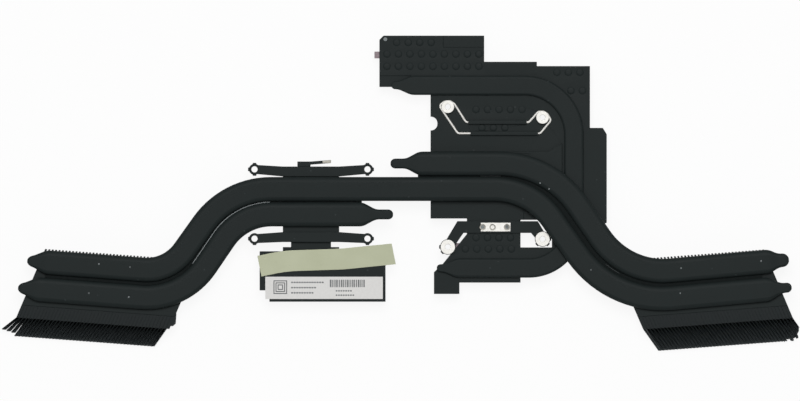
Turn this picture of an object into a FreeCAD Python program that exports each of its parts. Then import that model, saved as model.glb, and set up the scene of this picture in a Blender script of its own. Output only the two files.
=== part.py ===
import FreeCAD, Part
import math
import os
import Sketcher

# Laptop heatsink with two fin stacks, four flattened heat pipes, a processor plate and a graphics plate.
# Millimetres. Origin: middle of the processor contact face. +X along the width, +Y to the rear, +Z up.

doc = FreeCAD.newDocument("LaptopHeatsink")

# Driving dimensions, each written once. Places are measured from the origin.
SIZES = {
    # Levels
    "seat_level": "3.2",
    "cover_thick": "0.4",
    # Wide heat pipes
    "pipe_width": "10.6",
    "pipe_thick": "3.2",
    "pipe_edge": "1",
    "pipe_gap": "0.6",
    "stack_gap": "1.6",
    "run_place": "6.6",
    "dive_angle": "54.5",
    "right_slope": "5.2",
    "left_bend": "-36.5",
    "left_drop": "36.3",
    "left_bend_round": "36.5",
    "left_foot_round": "20.2",
    "right_bend": "96.6",
    "right_drop": "50.4",
    "right_bend_round": "30.8",
    "right_foot_round": "46",
    "right_bend_spread": "2.4",
    "cross_left_run": "54.3",
    "cross_right_run": "69.1",
    "cpu_left_run": "64.3",
    "cpu_pipe_end": "22.9",
    "gpu_pipe_start": "47.5",
    "gpu_right_run": "63.4",
    # Sealed pipe ends
    "nib_width": "4.4",
    "nib_thick": "2.4",
    "nib_edge": "0.7",
    "taper_length": "5.6",
    "cpu_nib_length": "5.5",
    "gpu_nib_length": "4.8",
    "short_nib_length": "2.4",
    "blunt_width": "5.2",
    "gpu_blunt_width": "6",
    "blunt_length": "0.2",
    "nose_step": "0.6",
    "nose_step_width": "0.8",
    "nose_end_width": "0.4",
    # Narrow heat pipe
    "thin_width": "8.5",
    "thin_thick": "1.6",
    "thin_edge": "0.5",
    "thin_nib_width": "3.4",
    "thin_nib_thick": "1.2",
    "thin_nib_edge": "0.35",
    "thin_nib_length": "1.4",
    "thin_rear_place": "52.2",
    "thin_front_place": "-28.2",
    "thin_side_place": "115.7",
    "thin_rear_start": "44",
    "thin_front_start": "64",
    "thin_rear_round": "21.7",
    "thin_front_round": "19.8",
    # Fin stacks
    "stack_slope": "4.3",
    "left_fin_count": "45",
    "right_fin_count": "44",
    "fin_pitch": "1.5",
    "fin_thick": "0.3",
    "fin_height": "10",
    "fin_lean": "19",
    "fin_front_lean": "31",
    "fin_depth": "30.8",
    "left_front_length": "9.5",
    "right_front_length": "11.5",
    "splayed_fins": "3",
    "splay_step": "5.6",
    "splayed_length": "8.1",
    "tab_rear": "23.5",
    "tab_front": "29.5",
    "tab_stand": "0.3",
    "tab_cut": "1.2",
    "worn_side": "13",
    "worn_side_start": "35.2",
    "worn_corner_side": "12.1",
    "worn_corner_end": "39.2",
    "worn_end_side": "10",
    "worn_end": "40.3",
    "worn_width": "6.2",
    "fin_tip_height": "3",
    "fin_seam": "0.12",
    "fin_teeth": "1.6",
    "cover_depth": "25.2",
    "cut_margin": "1",
    "left_stack_reach": "55",
    "left_stack_margin": "0.3",
    "right_stack_reach": "68.2",
    "right_stack_margin": "1",
    # Processor side
    "cpu_plate_width": "24.8",
    "cpu_plate_thick": "2",
    "cpu_copper_width": "22",
    "cpu_copper_depth": "24",
    "cpu_hole_across": "49.7",
    "cpu_hole_along": "30.5",
    "cpu_hole_bore": "2.7",
    "arm_width": "4.4",
    "arm_thick": "0.8",
    "arm_tip_width": "4",
    "arm_clear": "0.2",
    "front_arm_shift": "0.7",
    "ring_wide": "4.9",
    "lug_width": "1.6",
    "lug_reach": "0.4",
    "neck_width": "17.6",
    "neck_length": "2.2",
    "tail_length": "5",
    "tail_thick": "1",
    "vrm_left": "-22.6",
    "vrm_right": "32.8",
    "vrm_rear": "-20.8",
    "vrm_front": "-43",
    "vrm_leg_width": "4.3",
    "vrm_leg_front": "-38",
    "vrm_thick": "1",
    "label_width": "51.7",
    "label_depth": "9.8",
    "label_edge": "1.2",
    "label_thick": "0.1",
    "tape_width": "9.1",
    "tape_gap": "0.1",
    "tape_left_overhang": "1",
    "tape_right_overhang": "2.7",
    "tape_left_bend": "11.3",
    "tape_right_bend": "36",
    "tape_left_fall": "2.3",
    "tape_middle_rise": "0.8",
    "tape_right_rise": "3.1",
    "tape_skew": "1.8",
    "tape_curve": "60",
    "tape_thick": "0.15",
    "vrm_pad_inset": "3",
    "vrm_pad_front": "6",
    "vrm_pad_gap": "1",
    "finger_width": "1.4",
    "finger_thick": "0.5",
    "finger_base": "5.8",
    "finger_left": "-6",
    "finger_reach": "9",
    "finger_stand": "2.2",
    "finger_rise": "0.7",
    # Graphics side
    "gpu_centre_across": "81",
    "gpu_copper_width": "30",
    "gpu_copper_depth": "20",
    "saddle_gap": "1",
    "saddle_wing": "5.8",
    "saddle_wing_rise": "3.4",
    "gpu_sink_left": "93.6",
    "gpu_sink": "0.3",
    "gpu_plate_thick": "1",
    "gpu_left": "30.1",
    "gpu_rear": "74.1",
    "gpu_fold_left": "58.2",
    "gpu_fold_depth": "5.1",
    "gpu_fold_high": "0.3",
    "gpu_tail_drop": "0.7",
    "gpu_crease": "0.3",
    "gpu_corner": "1.8",
    "gpu_step_across": "76.2",
    "gpu_step_along": "62.6",
    "gpu_notch_across": "99.4",
    "gpu_notch_step": "1.9",
    "gpu_waist": "52.6",
    "gpu_waist_notch": "3",
    "gpu_waist_notch_place": "35.4",
    "gpu_waist_notch_rim": "0.2",
    "gpu_pipe_inset": "3",
    "gpu_margin": "2.8",
    "gpu_ear": "7.4",
    "gpu_ear_place": "33.5",
    "gpu_ear_cut": "1.7",
    "gpu_ear_cut_length": "2.8",
    "gpu_ear_front": "20",
    "gpu_bend_cut": "10",
    "gpu_bend_rise": "14",
    "gpu_neck_left": "68.6",
    "gpu_neck_right": "92.2",
    "gpu_neck_rear": "-6.4",
    "gpu_block_rear": "-13.2",
    "gpu_block_front": "-34.6",
    "gpu_tab_left": "54.1",
    "gpu_tab_right": "65.3",
    "gpu_tab_front": "-39.6",
    "gpu_tab_cut": "4",
    "gpu_tab_rise": "2",
    "gpu_tab_drop": "1.8",
    "gpu_window_right": "106",
    "gpu_window_rear": "-7",
    "gpu_window_front": "-19.1",
    "bump_wide": "3.1",
    "bump_high": "0.3",
    "bump_slope": "45",
    "bump_pitch": "5.06",
    "corner_bumps_inset": "7.6",
    "corner_bumps_edge": "3",
    "rear_bumps_inset": "3.3",
    "rear_bumps_edge": "8.1",
    "middle_bumps_edge": "13.5",
    "side_bumps_inset": "8.8",
    "side_bumps_offset": "5.8",
    "centre_bumps_inset": "12.4",
    "centre_bumps_offset": "5.6",
    "block_bumps_inset": "4",
    "block_bumps_edge": "1.6",
    "front_bumps_inset": "-0.7",
    "front_bumps_edge": "6.6",
    "ridge_bumps_inset": "15",
    "edge_bumps_inset": "15",
    "edge_bumps_offset": "-2.3",
    # Springs, bushings and pads
    "wire_wide": "0.9",
    "wire_clear": "0.1",
    "hook_reach": "3.8",
    "hook_exit": "3",
    "hook_back": "1.2",
    "hook_rise": "1",
    "left_hook_lean": "6",
    "right_hook_lean": "34",
    "wire_exit": "1",
    "wire_front_exit": "5.6",
    "wire_bend": "1.5",
    "wire_rear_line": "36",
    "wire_front_line": "31.1",
    "ridge_width": "1.7",
    "ridge_roof": "0.4",
    "rear_ridge_left": "9",
    "rear_ridge_right": "7",
    "front_ridge_left": "10",
    "front_ridge_right": "2",
    "bush_left": "60.2",
    "bush_left_rear": "42.8",
    "bush_left_front": "-18.9",
    "bush_right": "101.9",
    "bush_right_rear": "38.1",
    "bush_right_front": "-15.4",
    "rear_bush_head": "5.6",
    "front_bush_head": "6.4",
    "bush_head_thick": "0.8",
    "bush_neck": "3.6",
    "bush_below": "1",
    "bush_bore": "2.4",
    "bush_clear": "0.15",
    "leaf_width": "5.2",
    "leaf_arm_width": "4.4",
    "leaf_thick": "0.8",
    "leaf_lean": "34",
    "leaf_inset": "1.15",
    "leaf_left_reach": "4.2",
    "leaf_left_inner": "1.5",
    "leaf_right_reach": "7.6",
    "leaf_right_inner": "4.6",
    "leaf_ring_rim": "0.2",
    "strip_width": "3.9",
    "strip_length": "13.1",
    "strip_thick": "0.4",
    "strip_left": "74.7",
    "rivet_wide": "2.7",
    "rivet_high": "0.3",
    "first_rivet": "0.8",
    "second_rivet": "5.2",
    "third_rivet": "11.5",
    "corner_rivet_wide": "1.8",
    "corner_rivet_inset": "2.6",
    "corner_rivet_edge": "1.6",
    "pad_thick": "0.6",
    "pad_overhang": "2.2",
    "rear_pad_right": "3",
    "rear_pad_edge": "7",
    "rear_pad_depth": "3",
    "front_pad_shift": "5.8",
    "front_pad_edge": "4",
    "front_pad_depth": "7",
}

sheet = doc.addObject("Spreadsheet::Sheet", "Sizes")
for row, (name, text) in enumerate(SIZES.items(), start=1):
    sheet.set(f"A{row}", name)
    sheet.set(f"B{row}", text)
    sheet.setAlias(f"B{row}", name)
doc.recompute()


class Size:
    """A number together with the spreadsheet expression that gives it."""

    def __init__(self, text, value):
        self.text = text
        self.value = value

    def __add__(self, other):
        other = as_size(other)
        return Size(f"({self.text} + {other.text})", self.value + other.value)

    def __sub__(self, other):
        other = as_size(other)
        return Size(f"({self.text} - {other.text})", self.value - other.value)

    def __rsub__(self, other):
        return as_size(other) - self

    def __mul__(self, other):
        other = as_size(other)
        return Size(f"({self.text} * {other.text})", self.value * other.value)

    def __truediv__(self, other):
        other = as_size(other)
        return Size(f"({self.text} / {other.text})", self.value / other.value)

    def __neg__(self):
        return Size(f"(0 - {self.text})", -self.value)

    __radd__ = __add__
    __rmul__ = __mul__


def as_size(number):
    """A plain number as a Size."""
    if isinstance(number, Size):
        return number
    return Size(repr(float(number)), float(number))


def cell(name):
    """The Size that one spreadsheet cell holds."""
    return Size(f"Sizes.{name}", float(getattr(sheet, name)))


def sine(angle):
    return Size(f"sin({angle.text} * 1 deg)", math.sin(math.radians(angle.value)))


def cosine(angle):
    return Size(f"cos({angle.text} * 1 deg)", math.cos(math.radians(angle.value)))


def tangent(angle):
    return sine(angle) / cosine(angle)


def bind(target, name, size):
    """Ties one property to the spreadsheet."""
    target.setExpression(name, as_size(size).text)


def new_body(label):
    body = doc.addObject("PartDesign::Body", label)
    body.Label = label
    return body


def new_sketch(body, name, role="XY_Plane", height=0):
    """A sketch on one of the body's own planes, raised by height."""
    sketch = body.newObject("Sketcher::SketchObject", f"{body.Label}_{name}")
    plane = [item for item in body.Origin.OriginFeatures if item.Role == role][0]
    sketch.AttachmentSupport = [(plane, "")]
    sketch.MapMode = "FlatFace"
    bind(sketch, "AttachmentOffset.Base.z", height)
    return sketch


def place_point(sketch, geometry, spot, across, along):
    """Holds one point of the sketch at its distances from the sketch's origin."""
    for kind, distance in (("DistanceX", across), ("DistanceY", along)):
        size = as_size(distance)
        rule = Sketcher.Constraint(kind, -1, 1, geometry, spot, size.value)
        bind(sketch, f"Constraints[{sketch.addConstraint(rule)}]", size)


def draw_path(sketch, corners, closed=True):
    """Straight lines through the corners; a corner with a third value is rounded to that radius."""
    spots = [FreeCAD.Vector(as_size(c[0]).value, as_size(c[1]).value, 0) for c in corners]
    count = len(spots)
    begins = list(spots)
    stops = list(spots)
    rounds = {}
    for i, corner in enumerate(corners):
        if len(corner) < 3:
            continue
        radius = as_size(corner[2])
        into = (spots[i] - spots[i - 1]).normalize()
        out = (spots[(i + 1) % count] - spots[i]).normalize()
        reach = radius.value * math.tan(into.getAngle(out) / 2)
        stops[i] = spots[i] - into * reach
        begins[i] = spots[i] + out * reach
        left_turn = into.cross(out).z > 0
        normal = FreeCAD.Vector(-into.y, into.x, 0) * (1 if left_turn else -1)
        rounds[i] = (radius, stops[i] + normal * radius.value, left_turn)
    line_count = count if closed else count - 1
    lines = [
        sketch.addGeometry(Part.LineSegment(begins[i], stops[(i + 1) % count]), False)
        for i in range(line_count)
    ]
    for i, corner in enumerate(corners):
        if not closed and i == count - 1:
            place_point(sketch, lines[-1], 2, corner[0], corner[1])
            continue
        if i in rounds:
            round_corner(sketch, lines[i - 1], lines[i], corner, begins[i], stops[i], rounds[i])
            continue
        place_point(sketch, lines[i], 1, corner[0], corner[1])
        if closed or i > 0:
            sketch.addConstraint(Sketcher.Constraint("Coincident", lines[i - 1], 2, lines[i], 1))


def round_corner(sketch, line_in, line_out, corner, begin, stop, shape):
    """A tangent arc between two lines that aim at the same corner point."""
    radius, centre, left_turn = shape
    first, last = (stop, begin) if left_turn else (begin, stop)
    angle_a = math.atan2(first.y - centre.y, first.x - centre.x)
    angle_b = math.atan2(last.y - centre.y, last.x - centre.x)
    if angle_b < angle_a:
        angle_b += 2 * math.pi
    circle = Part.Circle(centre, FreeCAD.Vector(0, 0, 1), radius.value)
    arc = sketch.addGeometry(Part.ArcOfCircle(circle, angle_a, angle_b), False)
    point = FreeCAD.Vector(as_size(corner[0]).value, as_size(corner[1]).value, 0)
    mark = sketch.addGeometry(Part.Point(point), True)
    place_point(sketch, mark, 1, corner[0], corner[1])
    sketch.addConstraint(Sketcher.Constraint("PointOnObject", mark, 1, line_in))
    sketch.addConstraint(Sketcher.Constraint("PointOnObject", mark, 1, line_out))
    arc_in, arc_out = (1, 2) if left_turn else (2, 1)
    sketch.addConstraint(Sketcher.Constraint("Tangent", line_in, 2, arc, arc_in))
    sketch.addConstraint(Sketcher.Constraint("Tangent", arc, arc_out, line_out, 1))
    rule = sketch.addConstraint(Sketcher.Constraint("Radius", arc, radius.value))
    bind(sketch, f"Constraints[{rule}]", radius)


def draw_circle(sketch, across, along, diameter):
    centre = FreeCAD.Vector(as_size(across).value, as_size(along).value, 0)
    circle = Part.Circle(centre, FreeCAD.Vector(0, 0, 1), as_size(diameter).value / 2)
    ring = sketch.addGeometry(circle, False)
    place_point(sketch, ring, 3, across, along)
    rule = sketch.addConstraint(Sketcher.Constraint("Diameter", ring, as_size(diameter).value))
    bind(sketch, f"Constraints[{rule}]", diameter)


def box_corners(left, right, front, rear):
    return [(left, front), (right, front), (right, rear), (left, rear)]


def eight_corners(middle, half_width, half_height, cut):
    """A rectangle round a middle, with its four corners cut off."""
    across, along = middle
    side = half_width - cut
    top = half_height - cut
    return [
        (across - side, along - half_height),
        (across + side, along - half_height),
        (across + half_width, along - top),
        (across + half_width, along + top),
        (across + side, along + half_height),
        (across - side, along + half_height),
        (across - half_width, along + top),
        (across - half_width, along - top),
    ]


def hexagon(middle, wide):
    """A hexagon round a middle, as wide as given across its corners."""
    across, along = middle
    half = wide / 2
    side = wide / 4
    flat = side * math.sqrt(3)
    return [
        (across - half, along),
        (across - side, along - flat),
        (across + side, along - flat),
        (across + half, along),
        (across + side, along + flat),
        (across - side, along + flat),
    ]


def pad(body, name, sketch, length):
    """Adds the sketch's area, upward from the sketch."""
    feature = body.newObject("PartDesign::Pad", f"{body.Label}_{name}")
    feature.Profile = sketch
    bind(feature, "Length", length)
    sketch.Visibility = False
    return feature


def pocket(body, name, sketch, length):
    """Cuts the sketch's area, downward from the sketch."""
    feature = body.newObject("PartDesign::Pocket", f"{body.Label}_{name}")
    feature.Profile = sketch
    bind(feature, "Length", length)
    sketch.Visibility = False
    return feature


def plate(label, corners, bottom, thick):
    """A flat plate from its outline, with its underside at bottom."""
    body = new_body(label)
    outline = new_sketch(body, "outline", height=bottom)
    draw_path(outline, corners)
    pad(body, "sheet", outline, thick)
    return body


def square_sketch(body, name, place, heading, level):
    """A sketch that stands square to a heading, with its origin at a place and level."""
    sketch = new_sketch(body, name, role="YZ_Plane", height=place[0])
    offset = sketch.AttachmentOffset
    offset.Rotation = FreeCAD.Rotation(FreeCAD.Vector(0, 1, 0), as_size(heading).value)
    sketch.AttachmentOffset = offset
    bind(sketch, "AttachmentOffset.Base.x", place[1])
    bind(sketch, "AttachmentOffset.Base.y", level)
    bind(sketch, "AttachmentOffset.Rotation.Angle", heading)
    sketch.Visibility = False
    return sketch


def section(body, name, place, heading, shape):
    """A flattened pipe's section, square to its heading; shape is width, thickness, cut edge, underside."""
    width, thick, edge, underside = shape
    sketch = square_sketch(body, name, place, heading, underside + thick / 2)
    draw_path(sketch, eight_corners((0, 0), width / 2, thick / 2, edge))
    return sketch


def narrowed(shape, share):
    """The same section with only a share of its width."""
    width, thick, edge, underside = shape
    return (width * share, thick, edge, underside)


def heat_pipe(label, route, headings, shape, nib, ends):
    """A flattened pipe along its route, with a tapered and sealed nib at each end."""
    body = new_body(label)
    width, thick, edge, underside = shape
    nib_thick, nib_edge = nib
    spine = new_sketch(body, "route", height=underside + thick / 2)
    draw_path(spine, route, closed=False)
    profile = section(body, "section", route[0], headings[0], shape)
    sweep = body.newObject("PartDesign::AdditivePipe", f"{label}_sweep")
    sweep.Profile = profile
    sweep.Spine = (spine, [f"Edge{i + 1}" for i in range(2 * len(route) - 3)])
    spine.Visibility = False
    nib_underside = underside + (thick - nib_thick) / 2
    for side, spot, heading, outward, (nib_width, length) in (
        ("start", route[0], headings[0], -1, ends[0]),
        ("end", route[-1], headings[1], 1, ends[1]),
    ):
        nib_shape = (nib_width, nib_thick, nib_edge, nib_underside)
        taper = outward * cell("taper_length")
        tip = taper + outward * length
        nose = outward * nib_width / 2
        steps = [
            ("full", as_size(0), shape),
            ("neck", taper, nib_shape),
            ("tip", tip, nib_shape),
            ("nose", tip + nose * cell("nose_step"), narrowed(nib_shape, cell("nose_step_width"))),
            ("end", tip + nose, narrowed(nib_shape, cell("nose_end_width"))),
        ]
        sections = [
            section(body, f"{side}_{name}", along_heading(spot, heading, distance), heading, step_shape)
            for name, distance, step_shape in steps
        ]
        loft = body.newObject("PartDesign::AdditiveLoft", f"{label}_{side}_nib")
        loft.Profile = sections[0]
        loft.Sections = sections[1:]
        loft.Ruled = True
    return body


def along_heading(spot, heading, distance):
    """The point at a distance from a spot, along a heading."""
    heading = as_size(heading)
    return (spot[0] + distance * cosine(heading), spot[1] + distance * sine(heading))


# Levels that several pieces share
seat = cell("seat_level")
fin_top = seat - cell("cover_thick")
fin_bottom = fin_top - cell("fin_height")
gpu_top = seat - cell("thin_thick")
gpu_under = gpu_top - cell("gpu_plate_thick")

# Heat pipes: the wide ones lie side by side on the plates and on both stacks
dive = cell("dive_angle")
slope = cell("stack_slope")
right_slope = cell("right_slope")
run = cell("run_place")
row = cell("pipe_width") + cell("pipe_gap")
stack_row = cell("pipe_width") + cell("stack_gap")
half_pipe = cell("pipe_width") / 2
wide_pipe = (cell("pipe_width"), cell("pipe_thick"), cell("pipe_edge"), seat)
wide_nib = (cell("nib_thick"), cell("nib_edge"))
blunt_end = (cell("blunt_width"), cell("blunt_length"))
thin_pipe = (cell("thin_width"), cell("thin_thick"), cell("thin_edge"), gpu_top)
thin_nib = (cell("thin_nib_thick"), cell("thin_nib_edge"))
thin_end = (cell("thin_nib_width"), cell("thin_nib_length"))
bend_shift = row * tangent(dive / 2)


def beside_foot(tilt):
    """How far the second pipe's foot lies along and across from the first, for equal gaps on both legs."""
    share = stack_row / (1 + cosine(dive + tilt))
    return share * (sine(dive) - sine(tilt)), share * (cosine(dive) + cosine(tilt))


left_bend = (cell("left_bend"), run)
left_foot = (cell("left_bend") - cell("left_drop") / tangent(dive), run - cell("left_drop"))
right_bend = (cell("right_bend"), run)
right_foot = (cell("right_bend") + cell("right_drop") / tangent(dive), run - cell("right_drop"))
cpu_run = run - row
gpu_run = run + row
cpu_foot = (left_foot[0] + beside_foot(slope)[0], left_foot[1] - beside_foot(slope)[1])
gpu_foot = (right_foot[0] + beside_foot(right_slope)[0], right_foot[1] + beside_foot(right_slope)[1])


def cross_heat_pipe():
    left_end = along_heading(left_foot, 180 - slope, cell("cross_left_run"))
    right_end = along_heading(right_foot, right_slope, cell("cross_right_run"))
    route = [
        left_end,
        left_foot + (cell("left_foot_round"),),
        left_bend + (cell("left_bend_round"),),
        right_bend + (cell("right_bend_round"),),
        right_foot + (cell("right_foot_round"),),
        right_end,
    ]
    ends = (blunt_end, (cell("nib_width"), cell("short_nib_length")))
    return heat_pipe("cross_heat_pipe", route, (-slope, right_slope), wide_pipe, wide_nib, ends)


def cpu_heat_pipe():
    route = [
        along_heading(cpu_foot, 180 - slope, cell("cpu_left_run")),
        cpu_foot + (cell("left_foot_round") + row,),
        (cell("left_bend") + bend_shift, cpu_run, cell("left_bend_round") - row),
        (cell("cpu_pipe_end"), cpu_run),
    ]
    ends = (blunt_end, (cell("nib_width"), cell("cpu_nib_length")))
    return heat_pipe("cpu_heat_pipe", route, (-slope, as_size(0)), wide_pipe, wide_nib, ends)


def gpu_heat_pipe():
    bend = cell("right_bend") + bend_shift + cell("right_bend_spread")
    route = [
        (cell("gpu_pipe_start"), gpu_run),
        (bend, gpu_run, cell("right_bend_round") + row),
        gpu_foot + (cell("right_foot_round") - stack_row,),
        along_heading(gpu_foot, right_slope, cell("gpu_right_run")),
    ]
    right_end = (cell("gpu_blunt_width"), cell("blunt_length"))
    ends = ((cell("nib_width"), cell("gpu_nib_length")), right_end)
    return heat_pipe("gpu_heat_pipe", route, (as_size(0), right_slope), wide_pipe, wide_nib, ends)


def memory_heat_pipe():
    side = cell("thin_side_place")
    route = [
        (cell("thin_rear_start"), cell("thin_rear_place")),
        (side, cell("thin_rear_place"), cell("thin_rear_round")),
        (side, cell("thin_front_place"), cell("thin_front_round")),
        (cell("thin_front_start"), cell("thin_front_place")),
    ]
    headings = (as_size(0), as_size(180))
    return heat_pipe("memory_heat_pipe", route, headings, thin_pipe, thin_nib, (thin_end, thin_end))


def fin_place(sign, depth):
    """How far a fin has moved outward at a depth behind its rear end."""
    return -sign * depth * tangent(cell("fin_lean"))


def stack_body(label, sign, corner):
    """An empty body in a stack's own frame: X along the stack from its outer end, -Y to the front."""
    body = new_body(label)
    bind(body, "Placement.Base.x", corner[0])
    bind(body, "Placement.Base.y", corner[1])
    body.Placement.Rotation = FreeCAD.Rotation(FreeCAD.Vector(0, 0, 1), -sign * slope.value)
    bind(body, "Placement.Rotation.Angle", -sign * slope)
    return body


def stack_corner(foot, sign, reach, behind):
    """A stack's outer rear corner: so far along the stack from a pipe's foot, and so far behind it."""
    return (
        foot[0] - sign * reach * cosine(slope) + sign * behind * sine(slope),
        foot[1] + reach * sine(slope) + behind * cosine(slope),
    )


def leaning_band(sign, left, right, rear, front):
    """Corners of a band whose ends lean with the fins."""
    return [
        (sign * left + fin_place(sign, rear), -rear),
        (sign * left + fin_place(sign, front), -front),
        (sign * right + fin_place(sign, front), -front),
        (sign * right + fin_place(sign, rear), -rear),
    ]


def front_tip(sign, place, front):
    """Where the free front part of a fin ends; front is its lean and its length."""
    lean, length = front
    bend = cell("fin_depth")
    tip_place = fin_place(sign, bend) - sign * length * sine(lean)
    return (sign * place + tip_place, -bend - length * cosine(lean))


def bent_band(sign, left, right, rear, left_front, right_front):
    """Corners of a band that leans with the fins, then on each side with a free front part."""
    bend = cell("fin_depth")
    return [
        (sign * left + fin_place(sign, rear), -rear),
        (sign * left + fin_place(sign, bend), -bend),
        front_tip(sign, left, left_front),
        front_tip(sign, right, right_front),
        (sign * right + fin_place(sign, bend), -bend),
        (sign * right + fin_place(sign, rear), -rear),
    ]


def add_fin(body, name, sign, place, front, far_front):
    """One folded fin: an upright web, a top flange, and a base flange that reaches toward the next fin."""
    thick = cell("fin_thick")
    web = thick / cosine(cell("fin_lean"))
    near = place + web / 2
    far = place + cell("fin_pitch") - cell("fin_seam")
    teeth = cell("fin_teeth")
    web_sketch = new_sketch(body, f"{name}_web_outline", height=fin_bottom)
    draw_path(web_sketch, bent_band(sign, place, place + web, as_size(0), front, front))
    top_sketch = new_sketch(body, f"{name}_top_outline", height=fin_top - thick)
    draw_path(top_sketch, leaning_band(sign, near, far, teeth, cell("fin_depth")))
    base_sketch = new_sketch(body, f"{name}_base_outline", height=fin_bottom)
    draw_path(base_sketch, bent_band(sign, near, far, teeth, front, far_front))
    return [
        pad(body, f"{name}_web", web_sketch, cell("fin_height")),
        pad(body, f"{name}_top_flange", top_sketch, thick),
        pad(body, f"{name}_base_flange", base_sketch, thick),
    ]


def fin_stack(label, side):
    """A row of folded fins with sloped front ends; the outermost ones may be splayed outward."""
    sign, corner, count, front_length, splayed = side
    body = stack_body(label, sign, corner)
    pitch = cell("fin_pitch")
    front_lean = cell("fin_front_lean")
    like_front = (front_lean, front_length)
    for number in range(int(splayed.value)):
        lean = front_lean + cell("splay_step") * (splayed - number)
        front = (lean, cell("splayed_length"))
        far_front = (lean - cell("splay_step") / 2, cell("splayed_length"))
        add_fin(body, f"splayed_{number}", sign, number * pitch, front, far_front)
    like_fin = add_fin(body, "like", sign, splayed * pitch, like_front, like_front)
    row_of_fins = body.newObject("PartDesign::LinearPattern", f"{label}_row")
    row_of_fins.Originals = like_fin
    row_of_fins.Direction = (like_fin[0].Profile[0], ["H_Axis"])
    row_of_fins.Reversed = sign < 0
    bind(row_of_fins, "Length", pitch * (count - splayed - 1))
    bind(row_of_fins, "Occurrences", count - splayed)
    body.Tip = row_of_fins
    doc.recompute()

    margin = cell("cut_margin")
    top_end = -cell("fin_depth") - cell("fin_thick")
    tip_end = -cell("fin_depth") - front_length * cosine(front_lean) - margin
    slope_sketch = new_sketch(body, "front_slope", role="YZ_Plane")
    draw_path(slope_sketch, [
        (top_end, fin_top + margin),
        (top_end, fin_top - cell("fin_thick")),
        (tip_end, fin_bottom + cell("fin_tip_height")),
        (tip_end, fin_top + margin),
    ])
    full_width = 4 * pitch * count
    front = pocket(body, "front_cut", slope_sketch, full_width)
    front.Midplane = True
    return body


def left_fin_stack():
    """The left stack; its last fin ends in a bare web with a small tab behind it."""
    body = fin_stack("left_fin_stack", left_stack)
    thick = cell("fin_thick")
    margin = cell("cut_margin")
    lean = cell("fin_front_lean")
    pitch = cell("fin_pitch")
    row_end = pitch * cell("left_fin_count") - cell("fin_seam")
    web_end = pitch * (cell("left_fin_count") - 1) + thick / cosine(cell("fin_lean"))
    bare_front = (lean, cell("left_front_length") + margin)
    bare = bent_band(1, web_end, web_end + pitch, cell("fin_depth"), bare_front, bare_front)
    bare_sketch = new_sketch(body, "bare_end_outline", height=fin_top)
    draw_path(bare_sketch, bare[1:5])
    pocket(body, "bare_end", bare_sketch, cell("fin_height"))
    rear = cell("tab_rear")
    front = cell("tab_front")
    cut = cell("tab_cut")
    tab_side = row_end + fin_place(1, rear) + cell("tab_stand")
    tab_sketch = new_sketch(body, "tab_outline", height=fin_top - thick)
    draw_path(tab_sketch, [
        (row_end + fin_place(1, rear) - thick, -rear),
        (row_end + fin_place(1, front) - thick, -front),
        (tab_side - cut, -front),
        (tab_side, cut - front),
        (tab_side, -rear - cell("tab_stand")),
    ])
    pad(body, "tab", tab_sketch, thick)
    return body


def right_fin_stack():
    """The right stack; the tips at its outer front corner are worn short."""
    body = fin_stack("right_fin_stack", right_stack)
    outside = cell("worn_side") + cell("right_front_length")
    beyond = -cell("fin_depth") - 2 * cell("right_front_length")
    worn_sketch = new_sketch(body, "worn_corner_outline", height=fin_top)
    draw_path(worn_sketch, [
        (cell("worn_side"), -cell("worn_side_start")),
        (cell("worn_corner_side"), -cell("worn_corner_end")),
        (cell("worn_end_side"), -cell("worn_end")),
        (cell("worn_width"), -cell("worn_end")),
        (cell("worn_width"), beyond),
        (outside, beyond),
        (outside, -cell("worn_side_start")),
    ])
    pocket(body, "worn_corner", worn_sketch, cell("fin_height"))
    return body


def stack_cover(label, side):
    """The smooth sheet between a stack's fins and its pipes."""
    sign, corner, count = side[:3]
    body = stack_body(label, sign, corner)
    length = cell("fin_pitch") * count - cell("fin_seam")
    outline = new_sketch(body, "outline", height=fin_top)
    draw_path(outline, leaning_band(sign, as_size(0), length, cell("fin_teeth"), cell("cover_depth")))
    pad(body, "sheet", outline, cell("cover_thick"))
    return body


# Processor plate and its two arms
cpu_half = cell("cpu_plate_width") / 2
arm_rear = run + half_pipe + cell("arm_clear")
arm_front = -cell("cpu_hole_along") / 2 - cell("arm_width") / 2 + cell("front_arm_shift")
plate_rear = arm_rear + cell("arm_width")
neck_front = arm_front - cell("neck_length")
tail_front = neck_front - cell("tail_length")
plate_under = seat - cell("cpu_plate_thick")


def cpu_cold_plate():
    half_width = cell("cpu_copper_width") / 2
    half_depth = cell("cpu_copper_depth") / 2
    corners = box_corners(-half_width, half_width, -half_depth, half_depth)
    return plate("cpu_cold_plate", corners, as_size(0), plate_under)


def cpu_base_plate():
    body = plate("cpu_base_plate", box_corners(-cpu_half, cpu_half, arm_front, plate_rear),
                 plate_under, cell("cpu_plate_thick"))
    half_neck = cell("neck_width") / 2
    neck_rear = arm_front + cell("arm_width")
    tail = new_sketch(body, "tail_outline", height=plate_under)
    draw_path(tail, [
        (-half_neck, neck_rear),
        (-half_neck, neck_front),
        (-cpu_half, neck_front),
        (-cpu_half, tail_front),
        (cpu_half, tail_front),
        (cpu_half, neck_front),
        (half_neck, neck_front),
        (half_neck, neck_rear),
    ])
    pad(body, "tail", tail, cell("tail_thick"))
    return body


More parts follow.
